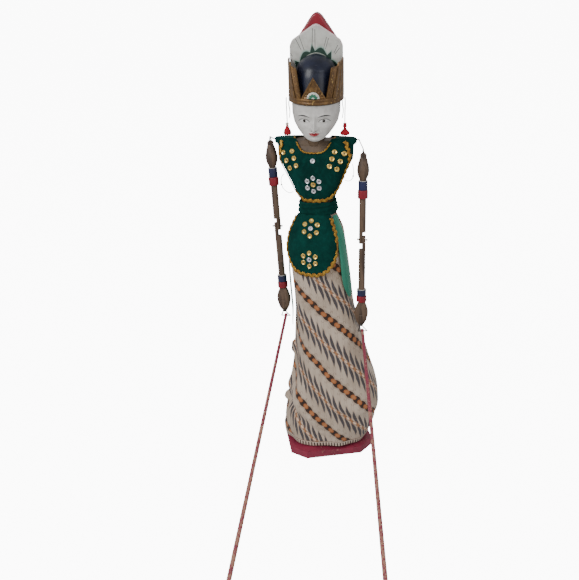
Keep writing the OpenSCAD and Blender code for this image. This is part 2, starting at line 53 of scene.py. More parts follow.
def makeCamera(s):
    turn = math.radians(s["turn"])
    spot = Vector((s["distance"] * math.sin(turn), -s["distance"] * math.cos(turn), s["height"]))
    ahead = (Vector(s["aim"]) - spot).normalized()
    side = ahead.cross(Vector((0, 0, 1))).normalized()
    up = side.cross(ahead)
    c, k = math.cos(math.radians(s["roll"])), math.sin(math.radians(s["roll"]))
    axisX, axisY = side * c - up * k, side * k + up * c
    data = bpy.data.cameras.new("camera")
    data.lens = s["lens"]
    data.sensor_width = 36
    data.clip_end = 50
    eye = bpy.data.objects.new("camera", data)
    bpy.context.scene.collection.objects.link(eye)
    eye.matrix_world = Matrix((
        (axisX.x, axisY.x, -ahead.x, spot.x), (axisX.y, axisY.y, -ahead.y, spot.y),
        (axisX.z, axisY.z, -ahead.z, spot.z), (0, 0, 0, 1)))
    bpy.context.scene.camera = eye


def areaLight(name, spot, size, power):
    data = bpy.data.lights.new(name, "AREA")
    data.size, data.energy = size, power
    lamp = bpy.data.objects.new(name, data)
    bpy.context.scene.collection.objects.link(lamp)
    lamp.location = spot
    lamp.rotation_euler = (Vector((0, 0, 0.3)) - Vector(spot)).to_track_quat("-Z", "Y").to_euler()


makeCamera(cameraSet)
areaLight("keyLight", (-1.3, -1.9, 1.9), 1.3, 46)
areaLight("fillLight", (1.9, -1.5, 1.2), 1.6, 14)
areaLight("backLight", (0.3, 1.9, 1.9), 1.4, 10)
sky = bpy.data.worlds.new("studioSky")
sky.use_nodes = True
sky.node_tree.nodes["Background"].inputs[0].default_value = (1, 1, 1, 1)
sky.node_tree.nodes["Background"].inputs[1].default_value = 0.55
bpy.context.scene.world = sky


# shader helpers
class Wire:
    # one value or vector on its way through a finish
    def __init__(self, maker, socket):
        self.maker, self.socket = maker, socket

    def calc(self, operation, *others):
        values = dict(enumerate((self,) + others))
        return self.maker.node("ShaderNodeMath", {"operation": operation}, values)

    def __add__(self, other):
        return self.calc("ADD", other)

    def __sub__(self, other):
        return self.calc("SUBTRACT", other)

    def __mul__(self, other):
        return self.calc("MULTIPLY", other)

    def __truediv__(self, other):
        return self.calc("DIVIDE", other)

    def __mod__(self, other):
        return self.calc("FLOORED_MODULO", other)

    def __lt__(self, other):
        return self.calc("LESS_THAN", other)

    def __gt__(self, other):
        return self.calc("GREATER_THAN", other)

    def __neg__(self):
        return self.calc("MULTIPLY", -1.0)

    def __abs__(self):
        return self.calc("ABSOLUTE")

    def __rsub__(self, other):
        return (-self) + other

    __radd__ = __add__
    __rmul__ = __mul__


class Finish:
    # a material being mixed; gloss settings go straight on the shader
    def __init__(self, name, **settings):
        self.material = bpy.data.materials.new(name)
        self.material.use_nodes = True
        self.tree = self.material.node_tree
        self.shader = self.tree.nodes["Principled BSDF"]
        for key, value in settings.items():
            self.shader.inputs[key.replace("_", " ")].default_value = value

    def node(self, kind, settings=None, values=None, out=0):
        made = self.tree.nodes.new(kind)
        for key, value in (settings or {}).items():
            setattr(made, key, value)
        for key, value in (values or {}).items():
            if isinstance(value, Wire):
                self.tree.links.new(value.socket, made.inputs[key])
            else:
                made.inputs[key].default_value = value
        return Wire(self, made.outputs[out])

    def place(self):
        return self.node("ShaderNodeTexCoord", out="Object")

    def sheetPlace(self):
        uv = self.node("ShaderNodeTexCoord", out="UV")
        parts = [self.node("ShaderNodeSeparateXYZ", values={0: uv}, out=k) for k in range(2)]
        return uv, parts[0], parts[1]

    def axes(self, vector):
        return [self.node("ShaderNodeSeparateXYZ", values={0: vector}, out=k) for k in range(3)]

    def scaled(self, vector, x, y, z):
        return self.node("ShaderNodeMapping", values={0: vector, 3: (x, y, z)})

    def clouds(self, vector, scale, detail=3.0, rough=0.55):
        return self.node("ShaderNodeTexNoise", values={"Vector": vector, "Scale": scale,
                         "Detail": detail, "Roughness": rough})

    def blend(self, factor, first, second):
        def colour(c):
            return c if isinstance(c, Wire) else (c[0], c[1], c[2], 1)
        return self.node("ShaderNodeMix", {"data_type": "RGBA"},
                         {0: factor, 6: colour(first), 7: colour(second)}, out=2)

    def step(self, value, low, high):
        return self.node("ShaderNodeMapRange", {"interpolation_type": "SMOOTHSTEP"},
                         {0: value, 1: low, 2: high, 3: 0.0, 4: 1.0})

    def near(self, value, reach, soft):
        # 1 where the size of value is under reach
        return 1 - self.step(abs(value), reach - soft, reach + soft)

    def colour(self, wire):
        self.tree.links.new(wire.socket, self.shader.inputs["Base Color"])

    def rough(self, wire):
        self.tree.links.new(wire.socket, self.shader.inputs["Roughness"])

    def metal(self, wire):
        self.tree.links.new(wire.socket, self.shader.inputs["Metallic"])

    def bump(self, height, strength, depth):
        made = self.node("ShaderNodeBump", values={"Strength": strength, "Distance": depth, "Height": height})
        self.tree.links.new(made.socket, self.shader.inputs["Normal"])


def longest(*wires):
    top = wires[0]
    for w in wires[1:]:
        top = top.calc("MAXIMUM", w)
    return top


# finishes
def paintedWood(name, paint, dark, wood, roughness, worn=0.6, grain=1.0, coat=0.0):
    f = Finish(name, Coat_Weight=coat, Coat_Roughness=0.2)
    at = f.place()
    fibres = f.clouds(f.scaled(at, 700, 700, 60), 1.0, 4)
    patches = f.clouds(at, 45, 4, 0.6)
    specks = f.clouds(at, 320, 3, 0.7)
    base = f.blend(f.step(patches, 0.35, 0.7), paint, dark)
    base = f.blend(f.step(fibres, 0.5, 0.75) * 0.5 * grain, base, dark)
    bare = f.step(specks * 0.55 + patches * 0.45, worn, worn + 0.05)
    f.colour(f.blend(bare * 0.85, base, wood))
    f.rough(roughness + fibres * 0.12 + bare * 0.15)
    f.bump(fibres * 0.5 - bare * 0.6 + specks * 0.3, 0.35, 0.0005)
    return f.material


def armWood(name):
    f = Finish(name)
    at = f.place()
    fibres = f.clouds(f.scaled(at, 620, 620, 34), 1.0, 5, 0.62)
    rings = f.clouds(f.scaled(at, 160, 160, 16), 1.0, 3, 0.5)
    patches = f.clouds(at, 60, 4, 0.6)
    base = f.blend(f.step(rings, 0.35, 0.66), (0.135, 0.083, 0.051), (0.056, 0.033, 0.020))
    base = f.blend(f.step(fibres, 0.48, 0.72) * 0.6, base, (0.028, 0.017, 0.011))
    base = f.blend(f.step(patches, 0.58, 0.72) * 0.5, base, (0.20, 0.14, 0.095))
    f.colour(base)
    f.rough(0.5 + fibres * 0.2)
    f.bump(fibres * 0.8 + rings * 0.3, 0.4, 0.0006)
    return f.material


def velvetCloth(name, deep, lit):
    f = Finish(name, Roughness=0.95, Sheen_Weight=0.14, Sheen_Roughness=0.35, Sheen_Tint=(0.04, 0.42, 0.32, 1),
               Specular_IOR_Level=0.12)
    at = f.place()
    pile = f.clouds(at, 1700, 2, 0.7)
    brushedPileSheen = f.clouds(f.scaled(at, 1, 1, 0.55), 38, 4, 0.62)
    napReliefAndSheen = f.clouds(at, 210, 3, 0.6)
    # painted sheen and shade: long patches of the pile pass from the shaded copy of the green (deep) to its lit copy
    # (lit)
    base = f.blend(f.step(brushedPileSheen, 0.3, 0.7), deep, lit)
    # painted sheen: small spots of the nap, lighter still than the lit copy
    base = f.blend(f.step(napReliefAndSheen, 0.45, 0.75) * 0.35, base, (lit[0] * 1.6, lit[1] * 1.6, lit[2] * 1.6))
    f.colour(base)
    f.bump(pile * 0.7 + napReliefAndSheen * 0.6, 0.35, 0.0006)
    return f.material


def satinCloth(name):
    f = Finish(name, Roughness=0.42, Sheen_Weight=0.2, Specular_IOR_Level=0.5)
    uv, across, along = f.sheetPlace()
    threads = f.clouds(f.scaled(uv, 4200, 500, 1), 1.0, 2)
    streaksAndSheen = f.clouds(f.scaled(uv, 160, 12, 1), 1.0, 3)
    # painted sheen: long streaks along the weave pass from a darker to a lighter copy of the same green
    f.colour(f.blend(f.step(streaksAndSheen, 0.3, 0.7), (0.006, 0.17, 0.10), (0.014, 0.27, 0.165)))
    f.rough(0.36 + threads * 0.2)
    f.bump(threads * 0.5 + streaksAndSheen * 0.5, 0.25, 0.0004)
    return f.material


def goldBraidFinish(name):
    f = Finish(name, Specular_IOR_Level=0.6)
    uv, along, across = f.sheetPlace()
    twist = (along * 5200 + across * 2600).calc("SINE") * 0.5 + 0.5
    tarnish = f.clouds(f.place(), 240, 3, 0.6)
    base = f.blend(f.step(tarnish, 0.35, 0.65), (0.74, 0.44, 0.06), (0.32, 0.14, 0.02))
    # painted shade: the dark half of each twist darkens the grooves between the strands
    f.colour(f.blend(f.step(twist, 0.0, 0.5), (0.16, 0.07, 0.015), base))
    f.metal(0.55 + twist * 0.35)
    f.rough(0.3 + tarnish * 0.25)
    f.bump(twist, 0.6, 0.0004)
    return f.material


def speckled(name, first, second, scale, detail, relief, rough=None, spread=None, grain=0.55, **settings):
    # two colours in fine spots; rough is the base roughness and what the spots add to it
    f = Finish(name, **settings)
    spots = f.clouds(f.place(), scale, detail, grain)
    f.colour(f.blend(f.step(spots, *spread) if spread else spots, first, second))
    if rough:
        f.rough(rough[0] + spots * rough[1])
    f.bump(spots, *relief)
    return f.material


def foilFinish(name, bright, dull):
    return speckled(name, bright, dull, 420, 3, (0.15, 0.0003), (0.18, 0.25), (0.35, 0.7), 0.6,
                    Metallic=0.85, Coat_Weight=0.3, Coat_Roughness=0.1)


def stringFinish(name, deep, lit):
    return speckled(name, deep, lit, 1500, 2, (0.5, 0.0003), Roughness=0.7)


def woolFinish(name, deep, lit):
    f = Finish(name, Roughness=0.9, Sheen_Weight=0.05)
    at = f.place()
    fibres = f.clouds(f.scaled(at, 2600, 2600, 240), 1.0, 3)
    f.colour(f.blend(f.step(fibres, 0.35, 0.65), deep, lit))
    f.bump(fibres, 0.5, 0.0005)
    return f.material


# batik
# shade is the cream ground as it looks in shadow, used for painted shade
batikSet = {"slope": 43, "band": 0.061, "pitch": 0.0125, "bandShift": 0.0262, "lean": 1.5,
            "cream": (0.56, 0.455, 0.36), "shade": (0.42, 0.33, 0.25), "brown": (0.042, 0.023, 0.016),
            "line": (0.15, 0.08, 0.045), "orange": (0.36, 0.125, 0.045), "grey": (0.11, 0.105, 0.12)}


def batikCloth(name, s):
    f = Finish(name, Roughness=0.82, Sheen_Weight=0.1, Specular_IOR_Level=0.25)
    uv, across, up = f.sheetPlace()
    c, k = math.cos(math.radians(s["slope"])), math.sin(math.radians(s["slope"]))
    pitch, band = s["pitch"], s["band"]
    half = band / 2
    wobble = (f.clouds(uv, 45, 2) - 0.5) * 0.0022
    along = across * c - up * k + wobble
    over = across * k + up * c + s["bandShift"] + wobble
    # each band holds the same drawing twice, the second turned half round
    w = (over / band) % 1.0 - 0.5
    d = abs(w) * band                      # from the spine, in metres
    run = along * w.calc("SIGN")
    steps = run / pitch
    cell = steps % 1.0 - 0.5
    edge = half - d                        # from the middle of the chain
    swell = (steps * math.pi).calc("COSINE").calc("ABSOLUTE")
    # chain of lozenges on a dark strip with scalloped sides
    scallop = edge - 0.0030 - swell * 0.0019
    chain = 1 - f.step(scallop, -0.00015, 0.00015)
    lozenge = 1 - f.step((cell * cell * 7.5 + edge * edge * 95000), 0.86, 1.04)
    heart = 1 - f.step((cell * cell * 22 + edge * edge * 300000), 0.7, 1.1)
    outline = longest(f.near(scallop - 0.0009, 0.00020, 0.00012), f.near(scallop - 0.0019, 0.00013, 0.0001))
    # a curl in each scallop
    cx = ((steps + 0.5) % 1.0 - 0.5) * pitch
    cy = edge - 0.0083
    reach = (cx * cx + cy * cy).calc("SQRT")
    coil = (reach - 0.0006) / 0.0019 - cy.calc("ARCTAN2", cx) * (0.5 / math.pi)
    curl = f.near(coil - 0.35, 0.10, 0.06) * (1 - f.step(reach, 0.0023, 0.0026))
    # leaning blades between the spine and the scallops
    sway = (d * (math.pi / 0.020)).calc("SINE") * 0.0022
    lean = ((run + d * s["lean"] + sway) / pitch) % 1.0 - 0.5
    lens = f.step(d, 0.0002, 0.0045) * (1 - f.step(d, 0.0065, 0.0165))
    feather = f.step(lens * 0.33 + 0.015 - abs(lean), -0.02, 0.02) * (1 - f.step(d, 0.0135, 0.0165))
    stripes = f.step((lean * 44).calc("SINE"), -0.35, 0.35)
    rim = f.near(lens * 0.33 + 0.055 - abs(lean), 0.012, 0.010) * (1 - f.step(d, 0.0145, 0.017))
    outer = f.step(d, 0.009, 0.011) * (1 - f.step(d, 0.0215, 0.023))
    stem = longest(f.near(lean - 0.16, 0.013, 0.010), f.near(lean + 0.20, 0.010, 0.008)) * outer
    # spine with beads and crosses
    spine = 1 - f.step(d, 0.0014, 0.0018)
    beadCell = (along / pitch + 0.5) % 1.0 - 0.5
    bead = 1 - f.step(beadCell * beadCell * 16 + d * d * 700000, 0.85, 1.1)
    offset = (along / pitch) % 1.0 - 0.5
    side = w * band
    cross = longest(f.near(offset * pitch + side * 0.35, 0.00050, 0.0002),
                    f.near(offset * pitch + side * 2.2, 0.00050, 0.0003)) * (1 - f.step(d, 0.0030, 0.0040))
    # the layers, from the ground up
    # painted shade: the cream ground is mixed in large soft patches with its shadowed copy (shade)
    shadePatches = f.clouds(uv, 22, 3)
    tone = f.blend(f.step(shadePatches, 0.35, 0.7), s["cream"], s["shade"])
    tone = f.blend(longest(stem, rim) * 0.8, tone, s["line"])
    tone = f.blend(feather, tone, f.blend(stripes, s["brown"], s["grey"]))
    tone = f.blend(longest(curl, outline) * 0.9, tone, s["line"])
    tone = f.blend(chain, tone, s["brown"])
    tone = f.blend(lozenge, tone, s["orange"])
    tone = f.blend(heart * 0.5, tone, (0.50, 0.22, 0.10))
    tone = f.blend(spine * 0.9, tone, (0.26, 0.11, 0.05))
    tone = f.blend(cross * 0.9, tone, (0.47, 0.21, 0.09))
    tone = f.blend(bead, tone, (0.72, 0.52, 0.38))
    # hem border with dashes
    border = 1 - f.step(up, 0.0078, 0.0082)
    dash = f.near((across / 0.0042) % 1.0 - 0.5, 0.20, 0.05) * f.near(up - 0.0034, 0.0030, 0.0003)
    tone = f.blend(border, tone, s["cream"])
    tone = f.blend(dash * border, tone, s["brown"])
    tone = f.blend(f.near(up - 0.0081, 0.0004, 0.0002), tone, s["line"])
    f.colour(tone)
    weft = (across * 9500).calc("SINE") * (up * 9500).calc("SINE")
    creases = f.clouds(f.scaled(uv, 1, 2.2, 1), 95, 4, 0.6)
    f.bump(weft * 0.25 + creases * 1.2, 0.3, 0.0006)
    return f.material


print("finishes ready")


# making pieces
def pick(obj):
    bpy.ops.object.select_all(action="DESELECT")
    obj.select_set(True)
    bpy.context.view_layer.objects.active = obj


def applied(obj, kind, **settings):
    pick(obj)
    made = obj.modifiers.new(kind.lower(), kind)
    for key, value in settings.items():
        setattr(made, key, value)
    if kind == "SUBSURF":
        made.render_levels = made.levels
    bpy.ops.object.modifier_apply(modifier=made.name)


def smoothShade(obj, angle=None):
    pick(obj)
    if angle is None:
        bpy.ops.object.shade_smooth()
    else:
        bpy.ops.object.shade_smooth_by_angle(angle=math.radians(angle))


def finished(obj, name, body, material, slot, *nodes):
    obj.name = name
    obj.data.materials.clear()
    obj.data.materials.append(material)
    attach(obj, body)
    if nodes:
        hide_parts(*nodes)
    return obj


def added(name):
    obj = bpy.context.object
    obj.name = name
    return obj


def baked(obj, matrix=None):
    # puts an object's own place, and then matrix, into its mesh
    pick(obj)
    bpy.ops.object.transform_apply(location=True, rotation=True, scale=True)
    if matrix is not None:
        obj.data.transform(matrix)
    obj.data.update()


def edited(obj, *steps):
    # each step is a mesh operator and its settings, used on the whole mesh
    pick(obj)
    bpy.ops.object.mode_set(mode="EDIT")
    bpy.ops.mesh.select_all(action="SELECT")
    for step, settings in steps:
        step(**settings)
    bpy.ops.object.mode_set(mode="OBJECT")


def fixNormals(obj):
    edited(obj, (bpy.ops.mesh.remove_doubles, {"threshold": 0.00002}),
           (bpy.ops.mesh.normals_make_consistent, {"inside": False}))


def closedEnds(obj, sides, angle=None):
    edited(obj, (bpy.ops.mesh.fill_holes, {"sides": sides}),
           (bpy.ops.mesh.normals_make_consistent, {"inside": False}))
    smoothShade(obj, angle)
    return obj


def copyOf(node):
    source = bpy.data.objects[node]
    twin = bpy.data.objects.new(node + "Copy", source.data.copy())
    bpy.context.scene.collection.objects.link(twin)
    fixNormals(twin)
    return twin


def softened(node, voxel, rounds, factor=0.6):
    # a rounder copy of a plain CAD solid
    twin = copyOf(node)
    twin.data.remesh_voxel_size = voxel
    pick(twin)
    bpy.ops.object.voxel_remesh()
    applied(twin, "SMOOTH", iterations=rounds, factor=factor)
    smoothShade(twin)
    return twin


def pushed(obj, amount):
    # moves each point along its normal by what amount(point) gives
    normals = [v.normal.copy() for v in obj.data.vertices]
    for v, n in zip(obj.data.vertices, normals):
        v.co += n * amount(v.co)


def skinTree(*nodes):
    spots, faces = [], []
    for node in nodes:
        mesh = bpy.data.objects[node].data
        first = len(spots)
        spots += [v.co.copy() for v in mesh.vertices]
        faces += [[first + i for i in p.vertices] for p in mesh.polygons]
    return BVHTree.FromPolygons(spots, faces)


def onSkin(tree, angle, z, off=0.0):
    # the outermost point of a solid at a height, seen from the rod's axis
    best, facing = None, None
    for turn, rise in ((0, 0), (0.016, 0.0007), (-0.016, -0.0007)):
        out = Vector((math.cos(angle + turn), math.sin(angle + turn), 0))
        hit, normal, face, far = tree.ray_cast(out * 0.3 + Vector((0, 0, z + rise)), -out)
        if hit is not None and (best is None or hit.xy.length > best.xy.length + 0.0008):
            best, facing = hit, normal
    if best is None:
        return None, out
    out = Vector((math.cos(angle), math.sin(angle), 0))
    best = out * best.xy.length + Vector((0, 0, z))
    if facing.dot(out) < 0:
        facing = -facing
    return best + facing * off, facing


def gridMesh(name, rows, cols, where, closed=False, uvOf=None):
    # a net of quads; where(i, j) gives each point and uvOf(i, j) its place on the flat cloth
    mesh = bpy.data.meshes.new(name)
    points = [where(i, j) for j in range(rows + 1) for i in range(cols if closed else cols + 1)]
    wide = cols if closed else cols + 1
    faces, corners = [], []
    for j in range(rows):
        for i in range(cols):
            k = (i + 1) % wide if closed else i + 1
            faces.append((j * wide + i, j * wide + k, (j + 1) * wide + k, (j + 1) * wide + i))
            corners.append(((i, j), (i + 1, j), (i + 1, j + 1), (i, j + 1)))
    mesh.from_pydata(points, [], faces)
    if uvOf:
        layer = mesh.uv_layers.new(name="cloth")
        n = 0
        for face in corners:
            for spot in face:
                layer.data[n].uv = uvOf(*spot)
                n += 1
    obj = bpy.data.objects.new(name, mesh)
    bpy.context.scene.collection.objects.link(obj)
    return obj


def mixed(a, b, t):
    return a + (b - a) * t


def bell(x, middle, spread):
    return math.exp(-((x - middle) / spread) ** 2)


headSet = {"turn": 8, "lean": 1.4, "foot": 0.440, "shift": 0.002}
headPlace = (Matrix.Translation((headSet["shift"], 0, headSet["foot"]))
             @ Matrix.Rotation(math.radians(headSet["turn"]), 4, "Z")
             @ Matrix.Rotation(math.radians(headSet["lean"]), 4, "Y")
             @ Matrix.Translation((0, 0, -headSet["foot"])))

# cords first
cordSet = {
    "ear_l": [(-37, -12, 499), (-37.2, -12.1, 493), (-37, -12.2, 486), (-36.8, -12.2, 479), (-36.7, -12.2, 472),
             (-36.7, -12.2, 466.8)],
    "ear_r": [(37, -12, 499), (37.3, -12.1, 493), (37.1, -12.2, 486), (36.9, -12.2, 479), (36.8, -12.2, 472),
              (36.8, -12.2, 466.8)],
    "tie_l": [(-41.6, -10, 398), (-43.5, -12, 396.5), (-45, -14, 392), (-44.5, -15, 385), (-42, -15, 379),
                (-37.5, -13.5, 374.5), (-33.5, -11.5, 373), (-30.9, -9, 374)],
    "tie_r": [(48.6, -6, 412.5), (50.2, -8, 409), (51.2, -10, 404), (51, -11, 399), (49.5, -11, 394.5),
                 (46.5, -10, 391.5), (43, -8.5, 390), (38.8, -7.5, 391)]}


def smoothRoute(points, steps):
    p = [Vector(q) / 1000 for q in points]
    made = []
    for i in range(len(p) - 1):
        a, b, c, d = p[max(i - 1, 0)], p[i], p[i + 1], p[min(i + 2, len(p) - 1)]
        for k in range(steps):
            t = k / steps
            made.append(0.5 * (2 * b + (c - a) * t + (2 * a - 5 * b + 4 * c - d) * t * t
                               + (3 * b - a - 3 * c + d) * t ** 3))
    return made + [p[-1]]


def roundCord(name, route, diameter):
    data = bpy.data.curves.new(name, "CURVE")
    data.dimensions = "3D"
    data.bevel_depth = diameter / 2
    data.bevel_resolution = 2
    data.use_fill_caps = True
    line = data.splines.new("POLY")
    line.points.add(len(route) - 1)
    for spot, p in zip(line.points, route):
        spot.co = (p.x, p.y, p.z, 1)
    obj = bpy.data.objects.new(name, data)
    bpy.context.scene.collection.objects.link(obj)
    return obj


def lengthOf(route):
    return sum((b - a).length for a, b in zip(route, route[1:]))


darkThread = stringFinish("darkThread", (0.012, 0.014, 0.012), (0.035, 0.032, 0.028))
cordPieces = {}
for side in ("l", "r"):
    route = [headPlace @ p for p in smoothRoute(cordSet["ear_" + side], 3)]
    cordPieces[side] = (roundCord("earCord_" + side, route, 0.0012), route)
for side in ("l", "r"):
    route = smoothRoute(cordSet["tie_" + side], 3)
    tie = roundCord("bodiceThread_" + side, route, 0.0008)
    finished(tie, "bodiceThread_" + side, "torso", darkThread, "dark_thread", "bodice_tie_" + side)
    tuple(route[0])
    lengthOf(route)
print("camera and cords ready")

# stand
standSet = {"paint": (0.29, 0.022, 0.055), "dark": (0.17, 0.012, 0.034), "bare": (0.42, 0.19, 0.14),
            "edge": 0.0011}
standPaint = paintedWood("standPaint", standSet["paint"], standSet["dark"], standSet["bare"], 0.5, 0.60)
steel = speckled("screwSteel", (0.5, 0.5, 0.5), (0.32, 0.31, 0.3), 900, 3, (0.1, 0.0002), (0.3, 0.2), Metallic=1.0)


def eased(node, width, segments=2, angle=30):
    # a copy of a CAD solid with its sharp edges broken
    twin = copyOf(node)
    edited(twin, (bpy.ops.mesh.dissolve_limited, {"angle_limit": math.radians(2)}))
    applied(twin, "BEVEL", width=width, segments=segments, limit_method="ANGLE",
            angle_limit=math.radians(angle), harden_normals=False)
    smoothShade(twin, 40)
    return twin


def dressed(node, material):
    obj = bpy.data.objects[node]
    obj.data.materials.clear()
    obj.data.materials.append(material)


finished(eased("stand_base", standSet["edge"], 3), "standBase", "stand", standPaint, "stand_paint", "stand_base")
finished(eased("stand_post", 0.0008), "standPost", "stand", standPaint, "stand_paint", "stand_post")
dressed("stand_screws", steel)
print("stand ready")

# skirt
skirtSet = {"columns": 120, "rows": 96, "top": 0.3465, "hem": 0.0112, "thick": 0.0009, "gather": 0.0009}
skirtSkin = skinTree("skirt")


def evened(rings, rounds):
    # rounds off the facets of rings of points that were read from a CAD solid
    for _ in range(rounds):
        rings = [[ring[i - 1] * 0.25 + ring[i] * 0.5 + ring[(i + 1) % len(ring)] * 0.25
                  for i in range(len(ring))] for ring in rings]
    return rings


def relaxed(row, rounds):
    # the same smoothing along an open row, whose two ends stay
    for _ in range(rounds):
        row = [row[0]] + [(row[i - 1] + row[i] * 2 + row[i + 1]) / 4 for i in range(1, len(row) - 1)] + [row[-1]]
    return row


def relaxedUp(rings, rounds):
    # smooths from ring to ring instead of round each ring
    return [list(ring) for ring in zip(*[relaxed(list(line), rounds) for line in zip(*rings)])]


def makeSkirt(s):
    columns, rows = s["columns"], s["rows"]
    rings = evened([[onSkin(skirtSkin, math.pi / 2 - 2 * math.pi * i / columns, mixed(s["hem"], s["top"], j / rows))[0]
                     for i in range(columns)] for j in range(rows + 1)], 4)
    shaped = []
    for j, ring in enumerate(rings):
        z = mixed(s["hem"], s["top"], j / rows)
        middle = sum(ring, Vector()) / columns
        flare = max(0.0, 1 - z / 0.30)
        row = []
        for i, p in enumerate(ring):
            a = math.pi / 2 - 2 * math.pi * i / columns
            out = Vector((p.x - middle.x, p.y - middle.y, 0)).normalized()
            fold = -0.0012 - flare * 0.0008
            fold += (0.0010 * math.cos(7 * a + 1.3 + z * 9) + 0.0007 * math.cos(12 * a + z * 17)) * (0.25 + flare)
            # gathers under the waist
            fold += s["gather"] * math.cos(26 * a + 3 * math.sin(z * 20)) * bell(z, 0.335, 0.03)
            if out.y < 0.25:
                # long slanting folds low on the cloth
                fold -= 0.0050 * bell(z - (0.062 - (p.x + 0.045) * 0.62), 0, 0.0075) * bell(p.x, -0.035, 0.034)
                fold += 0.0030 * bell(z - (0.080 - (p.x + 0.045) * 0.62), 0, 0.010) * bell(p.x, -0.035, 0.034)
                fold -= 0.0055 * bell(z - (0.060 - (p.x - 0.050) * 0.35), 0, 0.0060) * bell(p.x, 0.052, 0.020)
                fold += 0.0028 * bell(z - (0.076 - (p.x - 0.050) * 0.35), 0, 0.010) * bell(p.x, 0.052, 0.022)
                fold -= 0.0030 * bell(p.x - (0.020 - (z - 0.24) * 0.30), 0, 0.0055) * bell(z, 0.245, 0.045)
                fold -= 0.0026 * bell(p.x - (-0.030 - (z - 0.17) * 0.12), 0, 0.0060) * bell(z, 0.16, 0.06)
            fold += 0.0013 * (noise.noise(Vector((p.x * 34, p.y * 34, z * 26))))
            q = p + out * min(fold, 0.0012)
            # the hem dips and lifts a little where it meets the stand
            if z < 0.05:
                lift = 0.0022 * (1 + math.sin(5 * a + 0.6)) * (1 - z / 0.05)
                q.z += lift
            row.append(q)
        shaped.append(row)
    front = columns // 2
    places = []
    for j, row in enumerate(shaped):
        run = [0.0]
        for i in range(columns):
            run.append(run[-1] + (row[(i + 1) % columns] - row[i]).length)
        zero = run[front]
        places.append([zero - r for r in run])
    heights = [0.0]
    for j in range(rows):
        heights.append(heights[-1] + sum((shaped[j + 1][i] - shaped[j][i]).length
                                         for i in range(columns)) / columns)
    obj = gridMesh("skirtCloth", rows, columns, lambda i, j: shaped[j][i], closed=True,
                   uvOf=lambda i, j: (places[j][i], heights[j]))
    flat = (max(abs(p[-1] - p[0]) for p in places), heights[-1])
    area = sum(f.area for f in obj.data.polygons)
    fixNormals(obj)
    applied(obj, "SOLIDIFY", thickness=s["thick"], offset=-1)
    applied(obj, "SUBSURF", levels=1)
    smoothShade(obj)
    return obj, flat, area


batik = batikCloth("batik", batikSet)
skirtCloth, skirtFlat, skirtArea = makeSkirt(skirtSet)
print("skirt ready")
finished(skirtCloth, "skirtCloth", "torso", batik, "batik", "skirt")
min(skirtArea, 0.999 * skirtFlat[0] * skirtFlat[1])

# velvet and satin pieces
# a shaded and a lit copy of the same dark green, for the painted sheen of the pile
velvet = velvetCloth("velvet", (0.0, 0.022, 0.018), (0.001, 0.046, 0.036))
satin = satinCloth("satin")


def layOver(node, levels, thick, wrinkle, seed):
    # a cloth made from the outer face of a thin curved CAD panel
    twin = copyOf(node)
    mesh = twin.data
    shape = bmesh.new()
    shape.from_mesh(mesh)
    bmesh.ops.dissolve_limit(shape, angle_limit=0.0001, verts=shape.verts, edges=shape.edges)
    shape.normal_update()
    inner = [f for f in shape.faces
             if f.normal.dot(Vector((f.calc_center_median().x, f.calc_center_median().y, 0)).normalized()) < 0.55]
    bmesh.ops.delete(shape, geom=inner, context="FACES")
    bmesh.ops.triangulate(shape, faces=shape.faces[:])
    shape.to_mesh(mesh)
    shape.free()
    edited(twin, (bpy.ops.mesh.tris_convert_to_quads, {}),
           (bpy.ops.mesh.normals_make_consistent, {"inside": False}))
    applied(twin, "SUBSURF", levels=levels)
    pushed(twin, lambda p: wrinkle * noise.noise(Vector((p.x * 45 + seed, p.y * 45, p.z * 38))))
    layer = mesh.uv_layers.new(name="cloth")
    for loop in mesh.loops:
        p = mesh.vertices[loop.vertex_index].co
        layer.data[loop.index].uv = (math.atan2(p.y, p.x) * 0.04, p.z)
    area = sum(f.area for f in mesh.polygons)
    applied(twin, "SOLIDIFY", thickness=thick, offset=-1)
    smoothShade(twin, 60)
    return twin, area


for node, name, material, slot, flat in (
        ("apron", "apronCloth", velvet, "velvet", (0.083, 0.080)),
        ("side_sash_l", "sideSashLeft", satin, "satin", (0.022, 0.160)),
        ("side_sash_r", "sideSashRight", satin, "satin", (0.024, 0.114))):
    cloth, area = layOver(node, 2, 0.0008, 0.0006 if node == "apron" else 0.0009, 3.0)
    finished(cloth, name, "torso", material, slot, node)
    wide = max(area / flat[1], flat[0])
    area if area < wide * flat[1] else None

bodiceSet = {"voxel": 0.00085, "rounds": 8}
bodiceShell = softened("bodice", bodiceSet["voxel"], bodiceSet["rounds"])
pushed(bodiceShell, lambda p: noise.noise(p * 30) * 0.0007 + noise.noise(p * 75) * 0.0003 - 0.0002)
finished(bodiceShell, "bodiceVelvet", "torso", velvet, "velvet", "bodice")
waist = softened("waist_sash", 0.0008, 6)
# wraps of the sash, slanting a little
pushed(waist, lambda p: 0.0005 * math.sin((p.z * 1000 - 3 * math.sin(math.atan2(p.y, p.x) + 1.1)) * 1.25))
# its lower edge reaches over the top of the apron
for v in waist.data.vertices:
    v.co.z -= 0.0026 * min(max((0.354 - v.co.z) / 0.006, 0), 1)
finished(waist, "waistSash", "torso", velvet, "velvet", "waist_sash")
print("clothes ready")

# gold braid
braidSet = {"width": 0.0050, "wave": 0.0078, "swing": 0.0009, "height": 0.0011, "lift": 0.0004, "step": 0.0007}
braidGold = goldBraidFinish("braidGold")


def spacedOut(route, normals, step):
    # the same route with even steps, and the way it faces at each
    run = [0.0]
    for a, b in zip(route, route[1:]):
        run.append(run[-1] + (b - a).length)
    count = max(4, int(run[-1] / step))
    made, facing, k = [], [], 0
    for i in range(count + 1):
        want = run[-1] * i / count
        while k < len(run) - 2 and run[k + 1] < want:
            k += 1
        t = (want - run[k]) / max(run[k + 1] - run[k], 1e-9)
        made.append(route[k].lerp(route[k + 1], t))
        facing.append(normals[k].lerp(normals[k + 1], t).normalized())
    return made, facing, run[-1]


